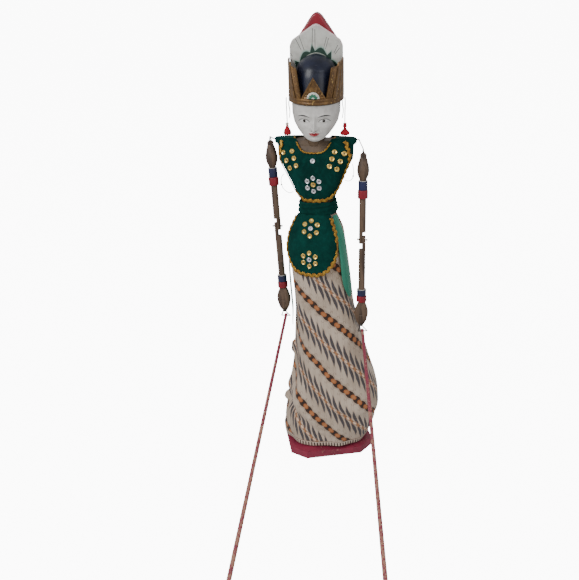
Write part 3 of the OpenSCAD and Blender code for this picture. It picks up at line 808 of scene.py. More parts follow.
def braid(name, route, normals, s, wide=None, phase=0.0):
    wide = wide or s["width"]
    path, facing, length = spacedOut(route, normals, s["step"])
    count = len(path) - 1
    profile = [(-0.5, 0.0), (-0.38, 0.62), (-0.2, 0.95), (0, 0.72), (0.2, 0.95), (0.38, 0.62), (0.5, 0.0),
               (0, -0.12)]
    points, places = [], []
    for i, (p, n) in enumerate(zip(path, facing)):
        ahead = (path[min(i + 1, count)] - path[max(i - 1, 0)]).normalized()
        side = ahead.cross(n).normalized()
        run = length * i / count
        swing = math.sin(2 * math.pi * run / s["wave"] + phase) * s["swing"]
        swell = 1 + 0.16 * math.cos(4 * math.pi * run / s["wave"] + phase)
        twist = 0.35 * math.sin(2 * math.pi * run / s["wave"] + phase + 1.0)
        row = []
        for across, high in profile:
            x = across * wide * swell
            h = high * s["height"] + s["lift"] + twist * across * s["height"] * 0.5
            row.append(p + side * (x + swing) + n * max(h, -0.0002))
        points.append(row)
        places.append(run)
    around = len(profile)
    obj = gridMesh(name, count, around, lambda i, j: points[j][i], closed=True,
                   uvOf=lambda i, j: (places[j], i * wide / around))
    return closedEnds(obj, around)


def joined(objs, name):
    bpy.ops.object.select_all(action="DESELECT")
    for o in objs:
        o.select_set(True)
    bpy.context.view_layer.objects.active = objs[0]
    bpy.ops.object.join()
    objs[0].name = name
    return objs[0]


def treeOf(obj):
    return BVHTree.FromPolygons([v.co.copy() for v in obj.data.vertices],
                                [list(p.vertices) for p in obj.data.polygons])


def traced(tree, marks, steps=6):
    # a smooth line over a cloth through marks given as an angle in degrees and a height
    route, normals = [], []
    for k in range((len(marks) - 1) * steps + 1):
        i, t = min(k // steps, len(marks) - 2), (k - min(k // steps, len(marks) - 2) * steps) / steps
        angle = mixed(marks[i][0], marks[i + 1][0], t)
        p, n = onSkin(tree, math.radians(angle), mixed(marks[i][1], marks[i + 1][1], t))
        if p is not None:
            route.append(p)
            normals.append(n)
    for _ in range(3):
        normals = [normals[0]] + [(normals[i - 1] + normals[i] * 2 + normals[i + 1]).normalized()
                                  for i in range(1, len(normals) - 1)] + [normals[-1]]
    return relaxed(route, 3), normals


bodiceTree = treeOf(bodiceShell)
bodiceMarks = {"right": [(-13, 0.4425), (-11.5, 0.428), (-12, 0.409), (-13.5, 0.397), (-16, 0.384), (-24, 0.3735),
                         (-45, 0.3665), (-70, 0.3655), (-90, 0.3650), (-112, 0.366)],
               "left": [(-167, 0.4425), (-168, 0.428), (-168, 0.409), (-166.5, 0.397), (-163, 0.384),
                        (-156, 0.3735), (-132, 0.3655), (-108, 0.3640), (-88, 0.3648), (-70, 0.3655)]}
edges = []
for k, side in enumerate(("left", "right")):
    route, normals = traced(bodiceTree, bodiceMarks[side])
    route = [p + n * 0.0007 * k for p, n in zip(route, normals)]         # one lies over the other
    edges.append(braid("edge", route, normals, braidSet, phase=k * 1.4))
finished(joined(edges, "bodiceBraid"), "bodiceBraid", "torso", braidGold, "gold_braid", "bodice_trim")

apronTree = treeOf(bpy.data.objects["apronCloth"])
apronSpots = [v.co for v in bpy.data.objects["apronCloth"].data.vertices]


def apronEdge():
    # follows the apron's own free edge, a little way in
    spots = [(math.degrees(math.atan2(p.y, p.x)), p.z) for p in apronSpots]
    left, right = min(a for a, z in spots), max(a for a, z in spots)
    lows = []
    for k in range(25):
        a = mixed(left + 2.6, right - 2.6, k / 24)
        low = min(z for b, z in spots if abs(b - a) < 2.2)
        lows.append((a, low + 0.0024))
    top = 0.3425
    down = [(left + 2.8, mixed(top, lows[0][1] + 0.003, t / 7)) for t in range(8)]
    upward = [(right - 2.8, mixed(lows[-1][1] + 0.003, top, t / 7)) for t in range(8)]
    return down + lows[1:-1] + upward


route, normals = traced(apronTree, apronEdge(), 3)
finished(braid("apronBraid", route, normals, braidSet), "apronBraid", "torso", braidGold, "gold_braid",
         "apron_trim")


def makeNeckline():
    # thin braid round the front half of the neck opening
    route, normals = [], []
    for k in range(25):
        a = math.radians(mixed(-176, -4, k / 24))
        x, y = 0.0272 * math.cos(a), -0.0015 + 0.0176 * math.sin(a)
        hit, n, face, far = bodiceTree.ray_cast(Vector((x, y, 0.46)), Vector((0, 0, -1)))
        low = Vector((x, y, hit.z if hit is not None and hit.z > 0.4285 else 0.4288))
        route.append(low)
        normals.append(Vector((math.cos(a) * 0.3, math.sin(a) * 0.9, 0.75)).normalized())
    route = relaxed(route, 4)
    small = dict(braidSet, wave=0.0045, swing=0.0003, height=0.0006)
    return braid("necklineBraid", route, normals, small, wide=0.0021)


finished(makeNeckline(), "necklineBraid", "torso", braidGold, "gold_braid", "neckline_trim")
print("braid ready")

# sequins
sequinSet = {"rim": 0.0031, "cup": 0.0006, "lift": 0.0009, "bead": 0.00095, "beadLift": 0.0006}


def discPlaces(node):
    # centre and direction of each loose disc of a CAD node
    twin = copyOf(node)
    shape = bmesh.new()
    shape.from_mesh(twin.data)
    left, found = set(shape.faces), []
    while left:
        island, edge = set(), [next(iter(left))]
        while edge:
            f = edge.pop()
            if f in left:
                left.discard(f)
                island.add(f)
                edge += [g for e in f.edges for g in e.link_faces if g in left]
        spots = {v for f in island for v in f.verts}
        middle = sum((v.co for v in spots), Vector()) / len(spots)
        caps = {}
        for f in island:
            key = tuple(round(c, 2) for c in f.normal)
            caps[key] = caps.get(key, 0) + f.calc_area()
        best = Vector(max(caps, key=caps.get)).normalized()
        if best.dot(Vector((middle.x, middle.y, 0))) < 0:
            best = -best
        found.append((middle, best))
    shape.free()
    bpy.data.objects.remove(twin)
    return sorted(found, key=lambda f: (round(f[0].z, 4), round(f[0].x, 4)))


def oneSequin(s):
    bpy.ops.object.select_all(action="DESELECT")
    bpy.ops.mesh.primitive_circle_add(vertices=16, radius=s["rim"], fill_type="NOTHING")
    disc = added("sequin")
    bpy.ops.object.mode_set(mode="EDIT")
    bpy.ops.mesh.select_all(action="SELECT")
    for size, rise in ((0.93, 0.00012), (0.58, -s["cup"]), (0.58, -0.0001)):
        bpy.ops.mesh.extrude_edges_move()
        bpy.ops.transform.resize(value=(size, size, 1))
        bpy.ops.transform.translate(value=(0, 0, rise))
    bpy.ops.object.mode_set(mode="OBJECT")
    applied(disc, "SOLIDIFY", thickness=0.00018, offset=0)
    smoothShade(disc, 50)
    return disc


def sown(name, model, places, lift, seed):
    # a copy of one model at each place, all in one mesh
    picker = random.Random(seed)
    copies = []
    for middle, facing in places:
        twin = bpy.data.objects.new("copy", model.data.copy())
        bpy.context.scene.collection.objects.link(twin)
        tilt = Vector((picker.uniform(-1, 1), picker.uniform(-1, 1), picker.uniform(-1, 1))) * 0.10
        turn = (facing + tilt).normalized().to_track_quat("Z", "Y").to_matrix().to_4x4()
        spin = Matrix.Rotation(picker.uniform(0, 6.28), 4, "Z")
        twin.data.transform(Matrix.Translation(middle + facing * lift) @ turn @ spin)
        copies.append(twin)
    made = joined(copies, name)
    fixNormals(made)
    return made


goldFoil = foilFinish("goldSequin", (0.95, 0.66, 0.16), (0.55, 0.32, 0.06))
silverFoil = foilFinish("silverSequin", (0.86, 0.88, 0.92), (0.52, 0.54, 0.58))
beadGlass = speckled("beadGlass", (0.16, 0.11, 0.06), (0.07, 0.045, 0.03), 900, 2, (0.1, 0.0002),
                     Roughness=0.12, Coat_Weight=0.6)
sequin = oneSequin(sequinSet)


def onCloth(places):
    # each place brought out to the velvet under it
    out = []
    for middle, facing in places:
        best = None
        for tree in (bodiceTree, apronTree):
            hit, n, face, far = tree.ray_cast(middle + facing * 0.02, -facing)
            if hit is not None and far < 0.026 and (best is None or far < best[2]):
                best = (hit, (facing + n * 0.6).normalized(), far)
        out.append((best[0], best[1]) if best else (middle, facing))
    return out


goldPlaces, silverPlaces = onCloth(discPlaces("sequins_gold")), onCloth(discPlaces("sequins_silver"))
for name, places, seed, foil, slot, node in (
        ("sequinsGold", goldPlaces, 1, goldFoil, "gold_sequin", "sequins_gold"),
        ("sequinsSilver", silverPlaces, 2, silverFoil, "silver_sequin", "sequins_silver")):
    finished(sown(name, sequin, places, sequinSet["lift"], seed), name, "torso", foil, slot, node)
bpy.data.objects.remove(sequin)
bpy.ops.object.select_all(action="DESELECT")
bpy.ops.mesh.primitive_torus_add(major_segments=12, minor_segments=6, major_radius=sequinSet["bead"] * 0.66,
                                 minor_radius=sequinSet["bead"] * 0.42)
bead = added("bead")
smoothShade(bead)
finished(sown("sequinBeads", bead, goldPlaces + silverPlaces, sequinSet["beadLift"], 3), "sequinBeads", "torso",
         beadGlass, "clear_bead", "sequin_beads")
bpy.data.objects.remove(bead)
print("sequins ready")

# tassels and ribbons
tasselSet = {"l": {"wide": 5.0, "bead": 3.0}, "r": {"wide": 6.2, "bead": 5.6}, "columns": 56, "ribs": 14,
             "drop": 15.6}
redWool = woolFinish("redWool", (0.26, 0.0, 0.008), (0.46, 0.002, 0.014))
# a shaded and a lit copy of the ribbon's green, for the painted sheen of the pile
ribbonCloth = velvetCloth("ribbonCloth", (0.002, 0.018, 0.014), (0.005, 0.034, 0.026))


def turned(name, profile, columns, place, ripple=None):
    # a shape of revolution from (radius, height) pairs in millimetres, top first
    def where(i, j):
        r, z = profile[j]
        a = 2 * math.pi * i / columns
        swell = ripple(a, j / (len(profile) - 1)) if ripple else 0
        r += swell * min(1, r)
        return place @ (Vector((r * math.cos(a), r * math.sin(a), z)) / 1000)

    obj = gridMesh(name, len(profile) - 1, columns, where, closed=True)
    return closedEnds(obj, columns, 60)


def makeTassel(side, s):
    data = s[side]
    end = cordSet["ear_" + side][-1]
    tip = headPlace @ Matrix.Translation(Vector(end) / 1000)
    wide, drop = data["wide"], data["bead"]
    low = -s["drop"]
    high = -drop
    shape = [(0.3, high + 0.3), (1.0, high + 0.2), (1.7, high - 0.4), (2.0, high - 1.4), (1.75, high - 2.2)]
    for k in range(1, 15):
        t = k / 14
        z = mixed(high - 2.2, low + 0.6, t)
        r = wide * 0.98 * (0.36 + 0.64 * math.sin(min(1.0, t * 1.18) * math.pi / 2) ** 1.15)
        r *= 1 - 0.16 * max(0, t - 0.84) / 0.16
        shape.append((r, z))
    shape += [(wide * 0.62, low + 0.15), (wide * 0.3, low + 0.5), (0.3, low + 0.7)]

    def ripple(a, t):
        return 0.20 * math.cos(s["ribs"] * a + 2.6 * t) + 0.10 * math.cos(27 * a - 2 * t) if t > 0.2 else 0
    body = turned("tasselWool_" + side, shape, s["columns"], tip, ripple)
    strands = []
    picker = random.Random(5 if side == "l" else 9)
    for k in range(16):
        # short loose ends under the skirt of the tassel
        a = 2 * math.pi * (k + picker.random() * 0.5) / 16
        r = wide * (0.72 + 0.2 * picker.random())
        top = Vector((r * math.cos(a), r * math.sin(a), low + 2.2))
        r *= 0.93
        tail = Vector((r * math.cos(a + 0.12), r * math.sin(a + 0.12), low - 0.15 + 0.3 * picker.random()))
        strands.append(tubeMesh("strand", [tip @ (p / 1000) for p in (top, (top + tail) / 2, tail)], 0.00034, 5))
    wool = joined([body] + strands, "tasselWool_" + side)
    binding = turned("binding", [(0.2, high - 1.75), (1.95, high - 1.8), (2.15, high - 2.2), (2.15, high - 2.9),
                                 (1.95, high - 3.2), (0.2, high - 3.25)], 24, tip)
    return joined([wool, binding], "tasselWool_" + side)


def tubeMesh(name, route, radius, sides=8):
    up = Vector((0.3, 1, 0.1))
    rings = []
    for i, p in enumerate(route):
        ahead = (route[min(i + 1, len(route) - 1)] - route[max(i - 1, 0)]).normalized()
        u = ahead.cross(up).normalized()
        v = ahead.cross(u)
        rings.append([p + (u * math.cos(2 * math.pi * k / sides) + v * math.sin(2 * math.pi * k / sides)) * radius
                      for k in range(sides)])
    obj = gridMesh(name, len(route) - 1, sides, lambda i, j: rings[j][i], closed=True)
    return closedEnds(obj, sides)


goldDull = speckled("beadPaint", (0.36, 0.20, 0.07), (0.20, 0.10, 0.035), 700, 3, (0.2, 0.0003), Roughness=0.4)
for side in ("l", "r"):
    tassel = makeTassel(side, tasselSet)
    finished(tassel, "tasselWool_" + side, "tassel_" + side, redWool, "red_wool", "tassel_" + side)
    end = cordSet["ear_" + side][-1]
    place = headPlace @ Matrix.Translation(Vector(end) / 1000)
    if side == "l":
        shape = [(0.7, 0.0), (1.5, -0.25), (2.1, -1.0), (2.15, -1.6), (1.7, -2.5), (0.8, -2.95)]
        knob = turned("tasselBead_l", shape, 20, place)
        finished(knob, "tasselBead_l", "tassel_l", goldDull, "gold_paint", "tassel_bead_l")
    else:
        shape = [(0.7, 0.0), (1.9, -0.3), (2.4, -1.2), (2.1, -2.2), (2.3, -3.0), (2.75, -4.2), (2.5, -5.2),
                 (1.0, -5.55)]
        knob = turned("tasselBead_r", shape, 24, place, lambda a, t: 0.12 * math.cos(9 * a + 4 * t))
        finished(knob, "tasselBead_r", "tassel_r", redWool, "red_wool", "tassel_bead_r")
    hanging, route = cordPieces[side]
    finished(hanging, "earCord_" + side, "tassel_" + side, darkThread, "dark_thread", "tassel_cord_" + side)
    tuple(route[0])
    lengthOf(route)
for node, name in (("ear_ribbon_l", "earRibbonLeft"), ("ear_ribbon_r", "earRibbonRight")):
    ribbon = eased(node, 0.00025)
    edited(ribbon, (bpy.ops.mesh.subdivide, {"number_cuts": 12}))
    for v in ribbon.data.vertices:
        v.co += Vector((0.0005 * math.sin(v.co.z * 330), 0.0006 * math.sin(v.co.z * 210 + 1), 0))
    finished(ribbon, name, "head", ribbonCloth, "ribbon", node)
print("tassels ready")

# head
headAway = headPlace.inverted()
faceSet = {"columns": 200, "rows": 150, "top": 0.503, "chin": 0.4476,
           "brow": 0.4788, "eye": 0.4742, "noseBase": 0.4632, "mouth": 0.4580, "eyeOut": 0.0122, "eyeWide": 0.0060}


def inHead(node):
    mesh = bpy.data.objects[node].data
    return BVHTree.FromPolygons([headAway @ v.co for v in mesh.vertices],
                                [list(p.vertices) for p in mesh.polygons])


def paintPlace(obj, backOf=-0.004):
    # UV map that holds each point's place in the head's own frame: across and up
    # faces at the back are moved aside, so that what is painted in front stays there
    layer = obj.data.uv_layers.get("cloth") or obj.data.uv_layers.new(name="cloth")
    for face in obj.data.polygons:
        aside = 1.0 if (headAway @ face.center).y > backOf else 0.0
        for k in face.loop_indices:
            p = headAway @ obj.data.vertices[obj.data.loops[k].vertex_index].co
            layer.data[k].uv = (p.x + aside, p.z)


def featureAt(x, z, s):
    # how far a point of the face stands forward of the plain egg, in metres
    ax = abs(x)
    t = (s["brow"] - z) / (s["brow"] - s["noseBase"])         # 0 at the brow, 1 under the nose
    push = 0.0
    # ridge, tip and wings of the nose
    if t > -0.35:
        ridge = 0.0014 + 0.0052 * max(0.0, min(1.0, t)) ** 1.25
        below = max(0.0, (s["noseBase"] - z) / 0.0022)
        ridge *= max(0.0, 1 - below * below) if z < s["noseBase"] else 1.0
        ridge *= 1 if t > 0 else max(0.0, 1 + t / 0.35)
        push += ridge * math.exp(-(ax / (0.0021 + 0.0010 * max(0, min(1, t)))) ** 2.2)
    push += 0.0014 * bell(x, 0, 0.0026) * bell(z, s["noseBase"] + 0.0026, 0.0026)
    push += 0.0021 * bell(ax, 0.0040, 0.0018) * bell(z, s["noseBase"] + 0.0017, 0.0020)
    # brow ridge, sockets, lids and cheeks
    push += 0.0011 * bell(ax, 0.0125, 0.0085) * bell(z, s["brow"] + 0.0010, 0.0028)
    push -= 0.0025 * bell(ax, s["eyeOut"] - 0.0012, 0.0078) * bell(z, s["eye"] + 0.0002, 0.0042)
    push += 0.0020 * bell(ax, s["eyeOut"], 0.0050) * bell(z, s["eye"], 0.0026)
    push += 0.0007 * bell(ax, s["eyeOut"], 0.0062) * bell(z, s["eye"] + 0.0029, 0.0008)
    push += 0.0012 * bell(ax, 0.0158, 0.0070) * bell(z, 0.4655, 0.0055)
    # lips and chin
    push += 0.0019 * bell(ax, 0, 0.0072) * bell(z, s["mouth"], 0.0042)
    push += 0.0012 * bell(ax, 0.0013, 0.0044) * bell(z, s["mouth"] + 0.0014, 0.0010)
    push += 0.0013 * bell(ax, 0, 0.0040) * bell(z, s["mouth"] - 0.0016, 0.0011)
    push -= 0.0010 * bell(ax, 0, 0.0058) * bell(z, s["mouth"] + 0.0001, 0.00055)
    push -= 0.0009 * bell(ax, 0, 0.0050) * bell(z, s["mouth"] - 0.0042, 0.0014)
    push += 0.0013 * bell(ax, 0, 0.0052) * bell(z, 0.4505, 0.0026)
    push -= 0.0005 * bell(ax, 0, 0.0011) * bell(z, s["noseBase"] - 0.0020, 0.0016)
    return push


def makeFace(s):
    tree = inHead("head")
    columns, rows = s["columns"], s["rows"]
    rings = []
    for j in range(rows + 1):
        z = mixed(s["chin"], s["top"] - 0.0002, (j / rows) ** 0.9)
        low = max(0.0, min(1.0, (0.480 - z) / 0.033))
        mid = Vector((0, -0.003 - 0.022 * low ** 1.4, z))
        ring = []
        for i in range(columns):
            # columns are closer together over the face
            u = i / columns
            a = math.pi / 2 - 2 * math.pi * u - 0.62 * math.sin(2 * math.pi * u)
            out = Vector((math.cos(a), math.sin(a), 0))
            hit, n, face, far = tree.ray_cast(mid + out * 0.12, -out)
            ring.append(hit if hit is not None else mid)
        rings.append(ring)
    rings = relaxedUp(evened(rings, 5), 3)
    for ring in rings:
        for i, p in enumerate(ring):
            front = max(0.0, min(1.0, (-p.y - 0.006) / 0.014))
            ring[i] = p + Vector((0, -featureAt(p.x, p.z, s) * front, 0))
    obj = gridMesh("paintedHead", rows, columns, lambda i, j: headPlace @ rings[j][i], closed=True)
    closedEnds(obj, columns, 70)
    paintPlace(obj)
    return obj


def facePaint(name, s):
    f = Finish(name, Coat_Weight=0.25, Coat_Roughness=0.25)
    uv, x, z = f.sheetPlace()
    ax = abs(x)
    at = f.place()
    grime = f.clouds(at, 130, 4, 0.6)
    specks = f.clouds(at, 900, 2, 0.6)
    tone = f.blend(f.step(grime, 0.35, 0.7), (0.66, 0.64, 0.61), (0.54, 0.52, 0.49))
    # painted shade: soft grey towards the sides of the face
    tone = f.blend(f.step(ax, 0.016, 0.034) * 0.28, tone, (0.30, 0.27, 0.25))
    u = ax - s["eyeOut"]
    wide = s["eyeWide"]
    # almond eye: two arcs
    bow = 1 - (u / wide) * (u / wide)
    upper = z - (s["eye"] + 0.0003 + u * 0.08) - bow * 0.0025
    lower = (s["eye"] - 0.0002 + u * 0.08) - bow * 0.0014 - z
    inside = (1 - f.step(upper, -0.0001, 0.0001)) * (1 - f.step(lower, -0.0001, 0.0001)) * f.near(u, wide, 0.0002)
    rise = z - s["eye"] - 0.0002
    gaze = (u * u + rise * rise).calc("SQRT")
    iris, pupil = 1 - f.step(gaze, 0.00175, 0.00195), 1 - f.step(gaze, 0.0008, 0.00095)
    lidLine = f.near(upper, 0.00046, 0.00018) * f.near(u - 0.0006, wide + 0.0014, 0.0004)
    underLine = f.near(lower, 0.00013, 0.00012) * f.near(u, wide - 0.0006, 0.0008)
    crease = f.near(z - (s["eye"] + 0.0024) - bow * 0.0022, 0.00016, 0.00016)
    crease = crease * f.near(u - 0.0004, wide - 0.0004, 0.0008)
    # calm arched brow, tapered to its ends
    v = (ax - 0.0128) / 0.0082
    arch = z - (s["brow"] + 0.0004) - (1 - v * v) * 0.0020 - v * 0.0004
    brow = 1 - f.step(abs(arch) - (1 - v * v) * 0.00080, -0.0001, 0.0002)
    brow = brow * f.near(v, 0.99, 0.02)
    # lips: a bow above, a full curve below, and the line between
    lipEnd = 0.0072
    q = x / lipEnd
    bowTop = (1 - q * q) * 0.0020 - (1 - f.step(ax, 0.0, 0.0022)) * 0.0007
    parting = s["mouth"] + q * q * 0.0007
    upLip = (z > parting) * (1 - f.step(z - parting - bowTop, -0.0001, 0.00015))
    lowLip = (z < parting) * (1 - f.step(parting - z - (1 - q * q) * 0.0026, -0.0001, 0.00015))
    lips = longest(upLip, lowLip) * f.near(x, lipEnd, 0.0002)
    seam = f.near(z - parting, 0.00014, 0.00014) * f.near(x, lipEnd - 0.0003, 0.0003)
    front = x < 0.5
    nx, nz = (ax - 0.0026) / 0.0011, (z - s["noseBase"] + 0.0003) / 0.0006
    nostril = 1 - f.step(nx * nx + nz * nz, 0.7, 1.2)
    tone = f.blend(inside * front, tone, (0.74, 0.73, 0.71))
    tone = f.blend(iris * inside * front, tone, (0.035, 0.022, 0.016))
    tone = f.blend(pupil * inside * front, tone, (0.004, 0.004, 0.004))
    tone = f.blend(longest(lidLine, underLine * 0.6, crease * 0.45, brow * 0.95, nostril * 0.5) * front, tone,
                   (0.010, 0.008, 0.008))
    tone = f.blend(lips * front, tone, f.blend(f.step(grime, 0.3, 0.7), (0.42, 0.014, 0.026), (0.30, 0.012, 0.02)))
    tone = f.blend(seam * 0.75 * front, tone, (0.10, 0.006, 0.010))
    # hair line painted black under the head band
    tone = f.blend(f.step(z, 0.4930, 0.4938), tone, (0.008, 0.008, 0.009))
    tone = f.blend(f.step(specks, 0.72, 0.8) * 0.25, tone, (0.22, 0.17, 0.13))
    f.colour(tone)
    f.rough(0.30 + grime * 0.2)
    f.bump(grime * 0.6 + specks * 0.25, 0.2, 0.0004)
    return f.material


finished(makeFace(faceSet), "paintedHead", "head", facePaint("facePaint", faceSet), "white_paint", "head")
print("head ready")

# hair dome, head band and crest
domeSet = {"columns": 96, "rows": 40, "low": 0.5036, "peak": 0.5505, "back": 0.0037}
bandSet = {"rx": 0.0352, "ry": 0.0412, "wall": 0.0022, "tip": 0.529, "rays": 15}


def navyGloss(name):
    f = Finish(name, Coat_Weight=0.15, Coat_Roughness=0.2, Specular_IOR_Level=0.35)
    at = f.place()
    clouds = f.clouds(at, 90, 4, 0.62)
    scuffs = f.clouds(f.scaled(at, 60, 60, 260), 1.0, 4, 0.7)
    tone = f.blend(f.step(clouds, 0.3, 0.7), (0.003, 0.005, 0.016), (0.010, 0.014, 0.036))
    tone = f.blend(f.step(scuffs, 0.62, 0.75) * 0.5, tone, (0.10, 0.11, 0.15))
    f.colour(tone)
    f.rough(0.28 + clouds * 0.25)
    f.bump(clouds * 0.6 + scuffs * 0.2, 0.3, 0.0006)
    return f.material


def goldPaint(name):
    f = Finish(name, Coat_Weight=0.2, Coat_Roughness=0.3)
    at = f.place()
    worn = f.clouds(at, 160, 4, 0.65)
    brush = f.clouds(f.scaled(at, 420, 420, 80), 1.0, 3)
    tone = f.blend(f.step(worn, 0.35, 0.62), (0.20, 0.105, 0.030), (0.105, 0.050, 0.016))
    tone = f.blend(f.step(worn, 0.60, 0.70), tone, (0.42, 0.27, 0.09))
    f.colour(tone)
    f.metal(0.35 + brush * 0.3)
    f.rough(0.34 + worn * 0.25)
    f.bump(brush * 0.5 + worn * 0.5, 0.3, 0.0005)
    return f.material


def makeDome(s):
    tree = inHead("hair_dome")
    rings = []
    for j in range(s["rows"]):
        t = j / s["rows"]
        z = mixed(s["low"], s["peak"], math.sin(t * math.pi / 2))
        ring = []
        for i in range(s["columns"] + 1):
            a = -math.pi * i / s["columns"]
            out = Vector((math.cos(a), math.sin(a), 0))
            hit, n, face, far = tree.ray_cast(Vector((0, s["back"], z)) + out * 0.1, -out)
            ring.append(hit if hit is not None else Vector((0, s["back"], z)))
        rings.append(ring)
    rings.append([Vector((0.001 * math.cos(-math.pi * i / s["columns"]), s["back"] - 0.003, s["peak"]))
                  for i in range(s["columns"] + 1)])
    rings = [relaxed(ring, 6) for ring in relaxedUp(rings, 6)]
    for ring in rings:
        ring[0].y = ring[-1].y = s["back"]
    obj = gridMesh("hairDome", len(rings) - 1, s["columns"], lambda i, j: headPlace @ rings[j][i])
    closedEnds(obj, 0, 50)
    paintPlace(obj, 1.0)
    return obj


finished(makeDome(domeSet), "hairDome", "head", navyGloss("navyGloss"), "navy_paint", "hair_dome")


def rimAt(angle, z, grow):
    # a point on the head band's oval, measured from straight ahead, in the head's frame
    rx, ry = bandSet["rx"] + grow, bandSet["ry"] + grow
    return Vector((rx * math.sin(angle), -0.002 - ry * math.cos(angle), z))


def makeBand():
    # two rounded ridges round the brow
    profile = [(-2.6, 494.7), (-0.9, 494.6), (-0.1, 495.4), (0, 496.6), (-0.2, 497.8), (-0.9, 498.4),
               (-0.5, 498.9), (0.0, 499.8), (0.1, 501.0), (-0.3, 502.2), (-1.1, 502.8), (-2.6, 502.7)]
    around = 96

    def where(i, j):
        grow, z = profile[j % len(profile)]
        return headPlace @ rimAt(2 * math.pi * i / around, z / 1000, grow / 1000)
    obj = gridMesh("bandRidges", len(profile), around, where, closed=True)
    fixNormals(obj)
    applied(obj, "SUBSURF", levels=1)
    smoothShade(obj)
    return obj


def standingPanel(name, marks, columns, rows, ribs, out=-0.0014):
    # an upright panel on the band; marks give (angle, top height) from side to side
    low = 0.5024
    grid = []
    for j in range(rows + 1):
        row = []
        for i in range(columns + 1):
            t = i / columns * (len(marks) - 1)
            k = min(int(t), len(marks) - 2)
            foot = mixed(marks[k][0], marks[k + 1][0], t - k)
            head = mixed(marks[k][1], marks[k + 1][1], t - k)
            top = mixed(marks[k][2], marks[k + 1][2], t - k)
            v = j / rows
            angle = math.radians(mixed(foot, head, v))
            z = mixed(low, top, v)
            row.append(rimAt(angle, z, out + ribs(i / columns, v)))
        grid.append(row)
    obj = gridMesh(name, rows, columns, lambda i, j: headPlace @ grid[j][i])
    fixNormals(obj)
    middle = headPlace @ Vector((0, 0, 0.51))
    if sum((p.center - middle).dot(p.normal) for p in obj.data.polygons) < 0:
        edited(obj, (bpy.ops.mesh.flip_normals, {}))
    applied(obj, "SOLIDIFY", thickness=bandSet["wall"] * 0.8, offset=-1)
    smoothShade(obj, 40)
    return obj


def ray(u, v):
    # carved rays that spread from the foot of the front panel
    x, y = (u - 0.5) * 30 * (1 - v), v * 26 + 1.5
    turn = math.atan2(x, y)
    framed = min(1.0, min(u, 1 - u) * (1 - v) * 7)
    return 0.00045 * math.cos(turn * bandSet["rays"] * 1.25) if framed > 0.6 else 0.0006


def ribbed(u, v):
    return 0.0006 if u < 0.14 or u > 0.86 else 0.00035 * math.cos((u - 0.14) * 26)


gold = goldPaint("goldPaint")
parts = [makeBand(), standingPanel("front", [(-27, -0.4, 0.529), (27, 0.4, 0.529)], 60, 34, ray)]
for k in (-1, 1):
    # inner and outer panel of each side, leaning outward
    inner = [(27.5 * k, 41 * k, 0.5385), (40 * k, 58 * k, 0.5400)]
    outer = [(42 * k, 60 * k, 0.5435), (96 * k, 97 * k, 0.5460)]
    parts.append(standingPanel("inner", inner if k > 0 else inner[::-1], 24, 26, ribbed, -0.0012))
    parts.append(standingPanel("outer", outer if k > 0 else outer[::-1], 44, 26, ribbed, -0.0006))
diadem = joined(parts, "diademGold")
paintPlace(diadem)
finished(diadem, "diademGold", "head", gold, "gold_paint", "diadem")


def jewelPaint(name):
    f = Finish(name, Roughness=0.35, Coat_Weight=0.3)
    uv, x, z = f.sheetPlace()
    up = z - 0.5034
    reach = (x * x + up * up).calc("SQRT")
    turn = up.calc("ARCTAN2", x)
    petals = (turn * 9).calc("COSINE") * 0.0006
    worn = f.clouds(f.place(), 260, 3)
    tone = f.blend(f.step(reach + petals, 0.0052, 0.0060), (0.022, 0.155, 0.085), (0.62, 0.63, 0.56))
    tone = f.blend((1 - f.step(reach, 0.0016, 0.0021)), tone, (0.55, 0.57, 0.50))
    tone = f.blend(f.near((turn * 9).calc("SINE"), 0.16, 0.1) * 0.5, tone, (0.012, 0.075, 0.045))
    f.colour(f.blend(f.step(worn, 0.58, 0.70) * 0.6, tone, (0.24, 0.20, 0.13)))
    f.bump(worn, 0.2, 0.0004)
    return f.material


def makeJewel():
    rows, columns = 12, 48
    def where(i, j):
        a = math.pi * i / columns
        r = 0.0079 * j / rows
        high = 0.0012 * math.sqrt(max(0.0, 1 - (j / rows) ** 2.4)) + 0.00025 * math.cos(a * 9) * (j / rows)
        p = rimAt(math.asin(max(-1, min(1, r * math.cos(a) / bandSet["rx"]))), 0.5034 + r * math.sin(a), 0.0)
        return headPlace @ (p + Vector((0, -high, 0)))
    obj = gridMesh("foreheadJewel", rows, columns, where)
    fixNormals(obj)
    if obj.data.polygons[0].normal.y > 0:
        edited(obj, (bpy.ops.mesh.flip_normals, {}))
    applied(obj, "SOLIDIFY", thickness=0.0014, offset=-1)
    smoothShade(obj, 50)
    paintPlace(obj, 1.0)
    return obj


finished(makeJewel(), "foreheadJewel", "head", jewelPaint("jewelPaint"), "green_paint", "diadem_jewel")

fanSet = {"lines": [((-36.9, 555.4), (-29.6, 547.1)), ((-36.7, 547.2), (-31, 542)), ((-25.8, 569), (-18.8, 555)),
                    ((-21.4, 573), (-15, 554.8)), ((-4, 581), (-5, 555.5)), ((-1.2, 580), (-1.2, 557)),
                    ((13.3, 570.5), (9.5, 556)), ((15.8, 569), (11.8, 555.8)), ((27.3, 560.6), (22.5, 551)),
                    ((29.4, 557), (23.7, 549.6))],
          "domeX": 0.0285, "domeZ": 0.0475, "foot": 0.503, "first": 0.21, "beat": 0.7156}


